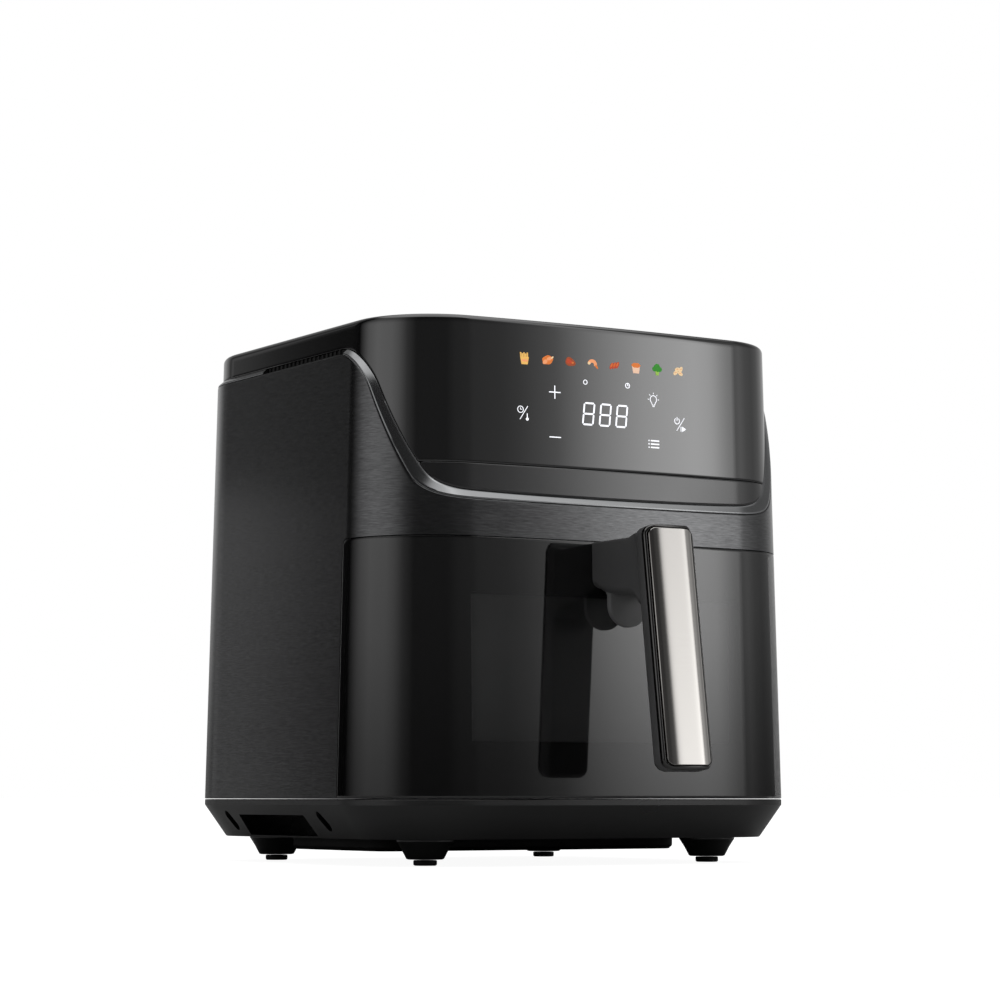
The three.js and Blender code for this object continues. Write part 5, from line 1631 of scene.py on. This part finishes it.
class FRYER_OT_handle(bpy.types.Operator):
    """Handle body with its bracket, bezel, nickel plate and release trigger"""
    bl_idname = "fryer.handle"
    bl_label = "Handle and trigger"

    def execute(self, context):
        sizes = details()
        self.half_width = sizes.handle_width / MM / 2
        self.half_length = sizes.handle_length / MM / 2
        self.depth = sizes.handle_depth / MM
        self.turn = (Matrix.Translation((0, HANDLE_FACE_Y, HANDLE_MIDDLE))
                     @ Matrix.Rotation(-sizes.handle_tilt, 4, "X"))
        body = Body()
        self.grip(body)
        self.bezel()
        self.plate()
        self.trigger(body)
        return {"FINISHED"}

    def place(self, x, depth, z):
        """A point of the grip, whose front falls back towards both sides."""
        fall = GRIP_FALL * min(1.0, abs(x) / (self.half_width - 1.8)) ** 7
        return self.turn @ Vector((x, depth + fall * max(0.0, 1.0 - depth / 12), z))

    def ring(self, inset, depth):
        """A rounded rectangle of the grip at a depth behind its face."""
        points = rounded(self.half_width - inset, self.half_length - inset, 6 - min(inset, 3), 10)
        return [self.place(x, depth, z) for x, z in points]

    def grip(self, body):
        rings = [self.ring(inset, depth) for inset, depth in (
            (0.6, 4.55), (0.1, 4.8), (0.0, 5.4), (0.0, self.depth - 4.2),
            (0.5, self.depth - 2.4), (1.5, self.depth - 0.8), (2.8, self.depth))]
        grip = to_object(loft(rings), "handle_grip")
        combine(grip, "UNION", [self.bracket(body)])
        stops = body.stops()[:-1]
        rings = [[body.spot(body.at(s), -GAP, z) for s in stops] for z in (30, 290)]
        pivot_y, pivot_z = -body.end - PIVOT_OUT, DRAWER_TOP - PIVOT_DOWN
        near, far = pivot_y - POCKET_REACH, pivot_y + POCKET_REACH
        pocket = prism([(-POCKET_HALF, near), (POCKET_HALF, near), (POCKET_HALF, far),
                        (-POCKET_HALF, far)], "z", pivot_z - 20, pivot_z + POCKET_REACH)
        combine(grip, "DIFFERENCE", [loft(rings), pocket])
        settle(grip, finish("handle satin"), "drawer", ["handle_body"], 30)

    def bracket(self, body):
        """The arm from the drawer to the grip, rounded under its lower edges."""
        lower = [(-12, 25.8), (-4, 25.8), (3, 26.2), (9, 28.8), (18, 30.6), (29, 31.4),
                 (36, 32.0), (41, 34.0), (44.5, 38.0), (47, 43.0)]
        curve = []
        for i in range(1, len(lower) - 2):
            before, here, there, after = (Vector(p) for p in lower[i - 1:i + 3])
            for t in (0.0, 0.2, 0.4, 0.6, 0.8):
                curve.append(0.5 * (2 * here + (there - before) * t
                                    + (2 * before - 5 * here + 4 * there - after) * t ** 2
                                    + (3 * here - before - 3 * there + after) * t ** 3))
        lower = [Vector(lower[0]), *curve, Vector(lower[-2]), Vector((51, 38.0))]
        upper = [(51, -2.4), (45, -2.4), (40, -1.4), (35, 0.2), (-12, 0.6)]
        rows = []
        for share in sorted({sign * (1 - (step / 16) ** 2) for sign in (-1, 1)
                             for step in range(17)}):
            near = BRACKET_HALF * (1 - abs(share))
            rise, sink = corner_drop(near, 5.0), corner_drop(near, 1.6)
            section = [(out, down - rise) for out, down in lower]
            section += [(out, down + sink) for out, down in upper]
            rows.append([Vector((BRACKET_HALF * share, -body.end - out, DRAWER_TOP - down))
                         for out, down in section])
        return loft(rows)

    def bezel(self):
        border = 1.8
        profile = [(0.95, 0.62), (0.5, 0.95), (0.2, 1.35), (0.04, 1.8), (0.0, 2.4), (0.0, 4.2),
                   (border, 4.2), (border, 1.45), (border - 0.2, 0.85), (border - 0.45, 0.62)]
        rim = to_object(loft([self.ring(inset, depth) for inset, depth in profile], ring=True),
                        "handle_rim")
        settle(rim, finish("black chrome"), "drawer", ["handle_bezel"], 40)

    def plate(self):
        """The plate as lengthways slices from side to side."""
        inset, corner, soft = 2.15, 3.9, 0.3
        half, tall = self.half_width - inset, self.half_length - inset
        rows = []
        for share in sorted({sign * (1 - (step / 30) ** 2) for sign in (-1, 1)
                             for step in range(31)}):
            x = half * share
            near = half - abs(x)
            z = tall - corner_drop(near, corner)
            front = 0.25 + corner_drop(near, soft)
            rows.append([self.place(x, depth, level) for depth, level in (
                (2.6, -z), (front + soft, -z), (front, soft - z), (front, z - soft),
                (front + soft, z), (2.6, z))])
        plate = to_object(loft(rows), "nickel_plate")
        settle(plate, finish("pearl nickel"), "drawer", ["handle_plate"], 30)

    def trigger(self, body):
        low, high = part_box("release_trigger")
        half = (high.x - low.x) / 2 / MM
        y = -body.end - PIVOT_OUT
        top = DRAWER_TOP - PIVOT_DOWN
        bottom = low.z / MM
        radius = half - 0.5
        outline = [(half, top), (-half, top)]
        for step in range(25):
            angle = math.pi * (1 + step / 24)
            outline.append((half * math.cos(angle),
                            bottom + radius + radius * math.sin(angle)))
        rings = []
        for shrink, depth in ((0.9, -2.0), (0.3, -1.75), (0.0, -1.2), (0.0, 1.2), (0.3, 1.75),
                              (0.9, 2.0)):
            rings.append([Vector((x * (1 - shrink / half), y + depth,
                                  z + (shrink if z < bottom + radius else 0)
                                  * (1 - (z - bottom) / radius))) for x, z in outline])
        tab = to_object(loft(rings), "trigger_tab")
        turn = Matrix.Translation((0, y, top)) @ Matrix.Rotation(math.pi / 2, 4, "Y")
        barrel = turned([(2.8, -half), (2.8, half)], 28, turn=turn)
        bore = turned([(1.35, -half - 5), (1.35, half + 5)], 20, turn=turn)
        combine(tab, "UNION", [barrel])
        combine(tab, "DIFFERENCE", [bore])
        settle(tab, finish("trigger satin"), "trigger", ["release_trigger"], 35)


# Inside --------------------------------------------------------------------------------------

class FRYER_OT_inside(bpy.types.Operator):
    """Bay, heater, fan and electrics inside the body"""
    bl_idname = "fryer.inside"
    bl_label = "Inside"

    def execute(self, context):
        pieces = (
            ("front_frame", "opening_frame", 0.0, "dark plastic", "housing", "matte_black"),
            ("bay_liner", "bay_walls", 0.0, "bare steel", "housing", "steel"),
            ("bay_rail_left", "rail_left", 0.5, "matte plastic", "housing", "satin_grey"),
            ("bay_rail_right", "rail_right", 0.5, "matte plastic", "housing", "satin_grey"),
            ("heat_chamber", "chamber", 0.0, "bare steel", "housing", "steel"),
            ("heating_element", "heater", 0.0, "heater sheath", "housing", "steel"),
            ("element_guard", "heater_guard", 0.3, "bare steel", "housing", "steel"),
            ("hot_air_fan", "fan_wheel", 0.2, "bare steel", "rotor", "steel"),
            ("cooling_fan", "cooling_wheel", 0.2, "matte plastic", "rotor", "satin_grey"),
        )
        for node, name, width, look, body, slot in pieces:
            obj = refined(node, name, width)
            settle(obj, finish(look), body, [node], 35)
        kept = {
            "bare steel": ["exhaust_duct", "element_clip_1", "element_clip_2", "motor_bracket",
                           "motor", "motor_shaft", "handle_screw_left", "handle_screw_right",
                           "trigger_pin"],
            "ceramic": ["lamp_socket"],
            "clear glass": ["lamp_lens"],
            "dark plastic": ["drawer_switch", "display_module"],
            "circuit board": ["control_board", "power_board"],
        }
        for look, nodes in kept.items():
            for node in nodes:
                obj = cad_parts[node]
                for slot in obj.material_slots:
                    slot.material = finish(look)
        return {"FINISHED"}


class FRYER_PT_pieces(bpy.types.Panel):
    bl_label = "Air fryer"
    bl_idname = "FRYER_PT_pieces"
    bl_space_type = "VIEW_3D"
    bl_region_type = "UI"
    bl_category = "Air fryer"

    def draw(self, context):
        layout = self.layout
        for name, group in PROPERTY_GROUPS.items():
            box = layout.box()
            for field in group.__annotations__:
                box.prop(getattr(context.scene, name), field)
        for operator in OPERATORS:
            layout.operator(operator.bl_idname)


OPERATORS = (FRYER_OT_stage, FRYER_OT_shell, FRYER_OT_housing, FRYER_OT_trims, FRYER_OT_base,
             FRYER_OT_back, FRYER_OT_display, FRYER_OT_drawer, FRYER_OT_basket, FRYER_OT_handle,
             FRYER_OT_inside)


def register():
    for cls in (*PROPERTY_GROUPS.values(), *OPERATORS, FRYER_PT_pieces):
        bpy.utils.register_class(cls)
    for name, group in PROPERTY_GROUPS.items():
        setattr(bpy.types.Scene, name, PointerProperty(type=group))


def unregister():
    for name in PROPERTY_GROUPS:
        delattr(bpy.types.Scene, name)
    for cls in reversed((*PROPERTY_GROUPS.values(), *OPERATORS, FRYER_PT_pieces)):
        bpy.utils.unregister_class(cls)


def main():
    register()
    for operator in OPERATORS:
        group, name = operator.bl_idname.split(".")
        getattr(getattr(bpy.ops, group), name)()


if __name__ == "__main__":
    main()
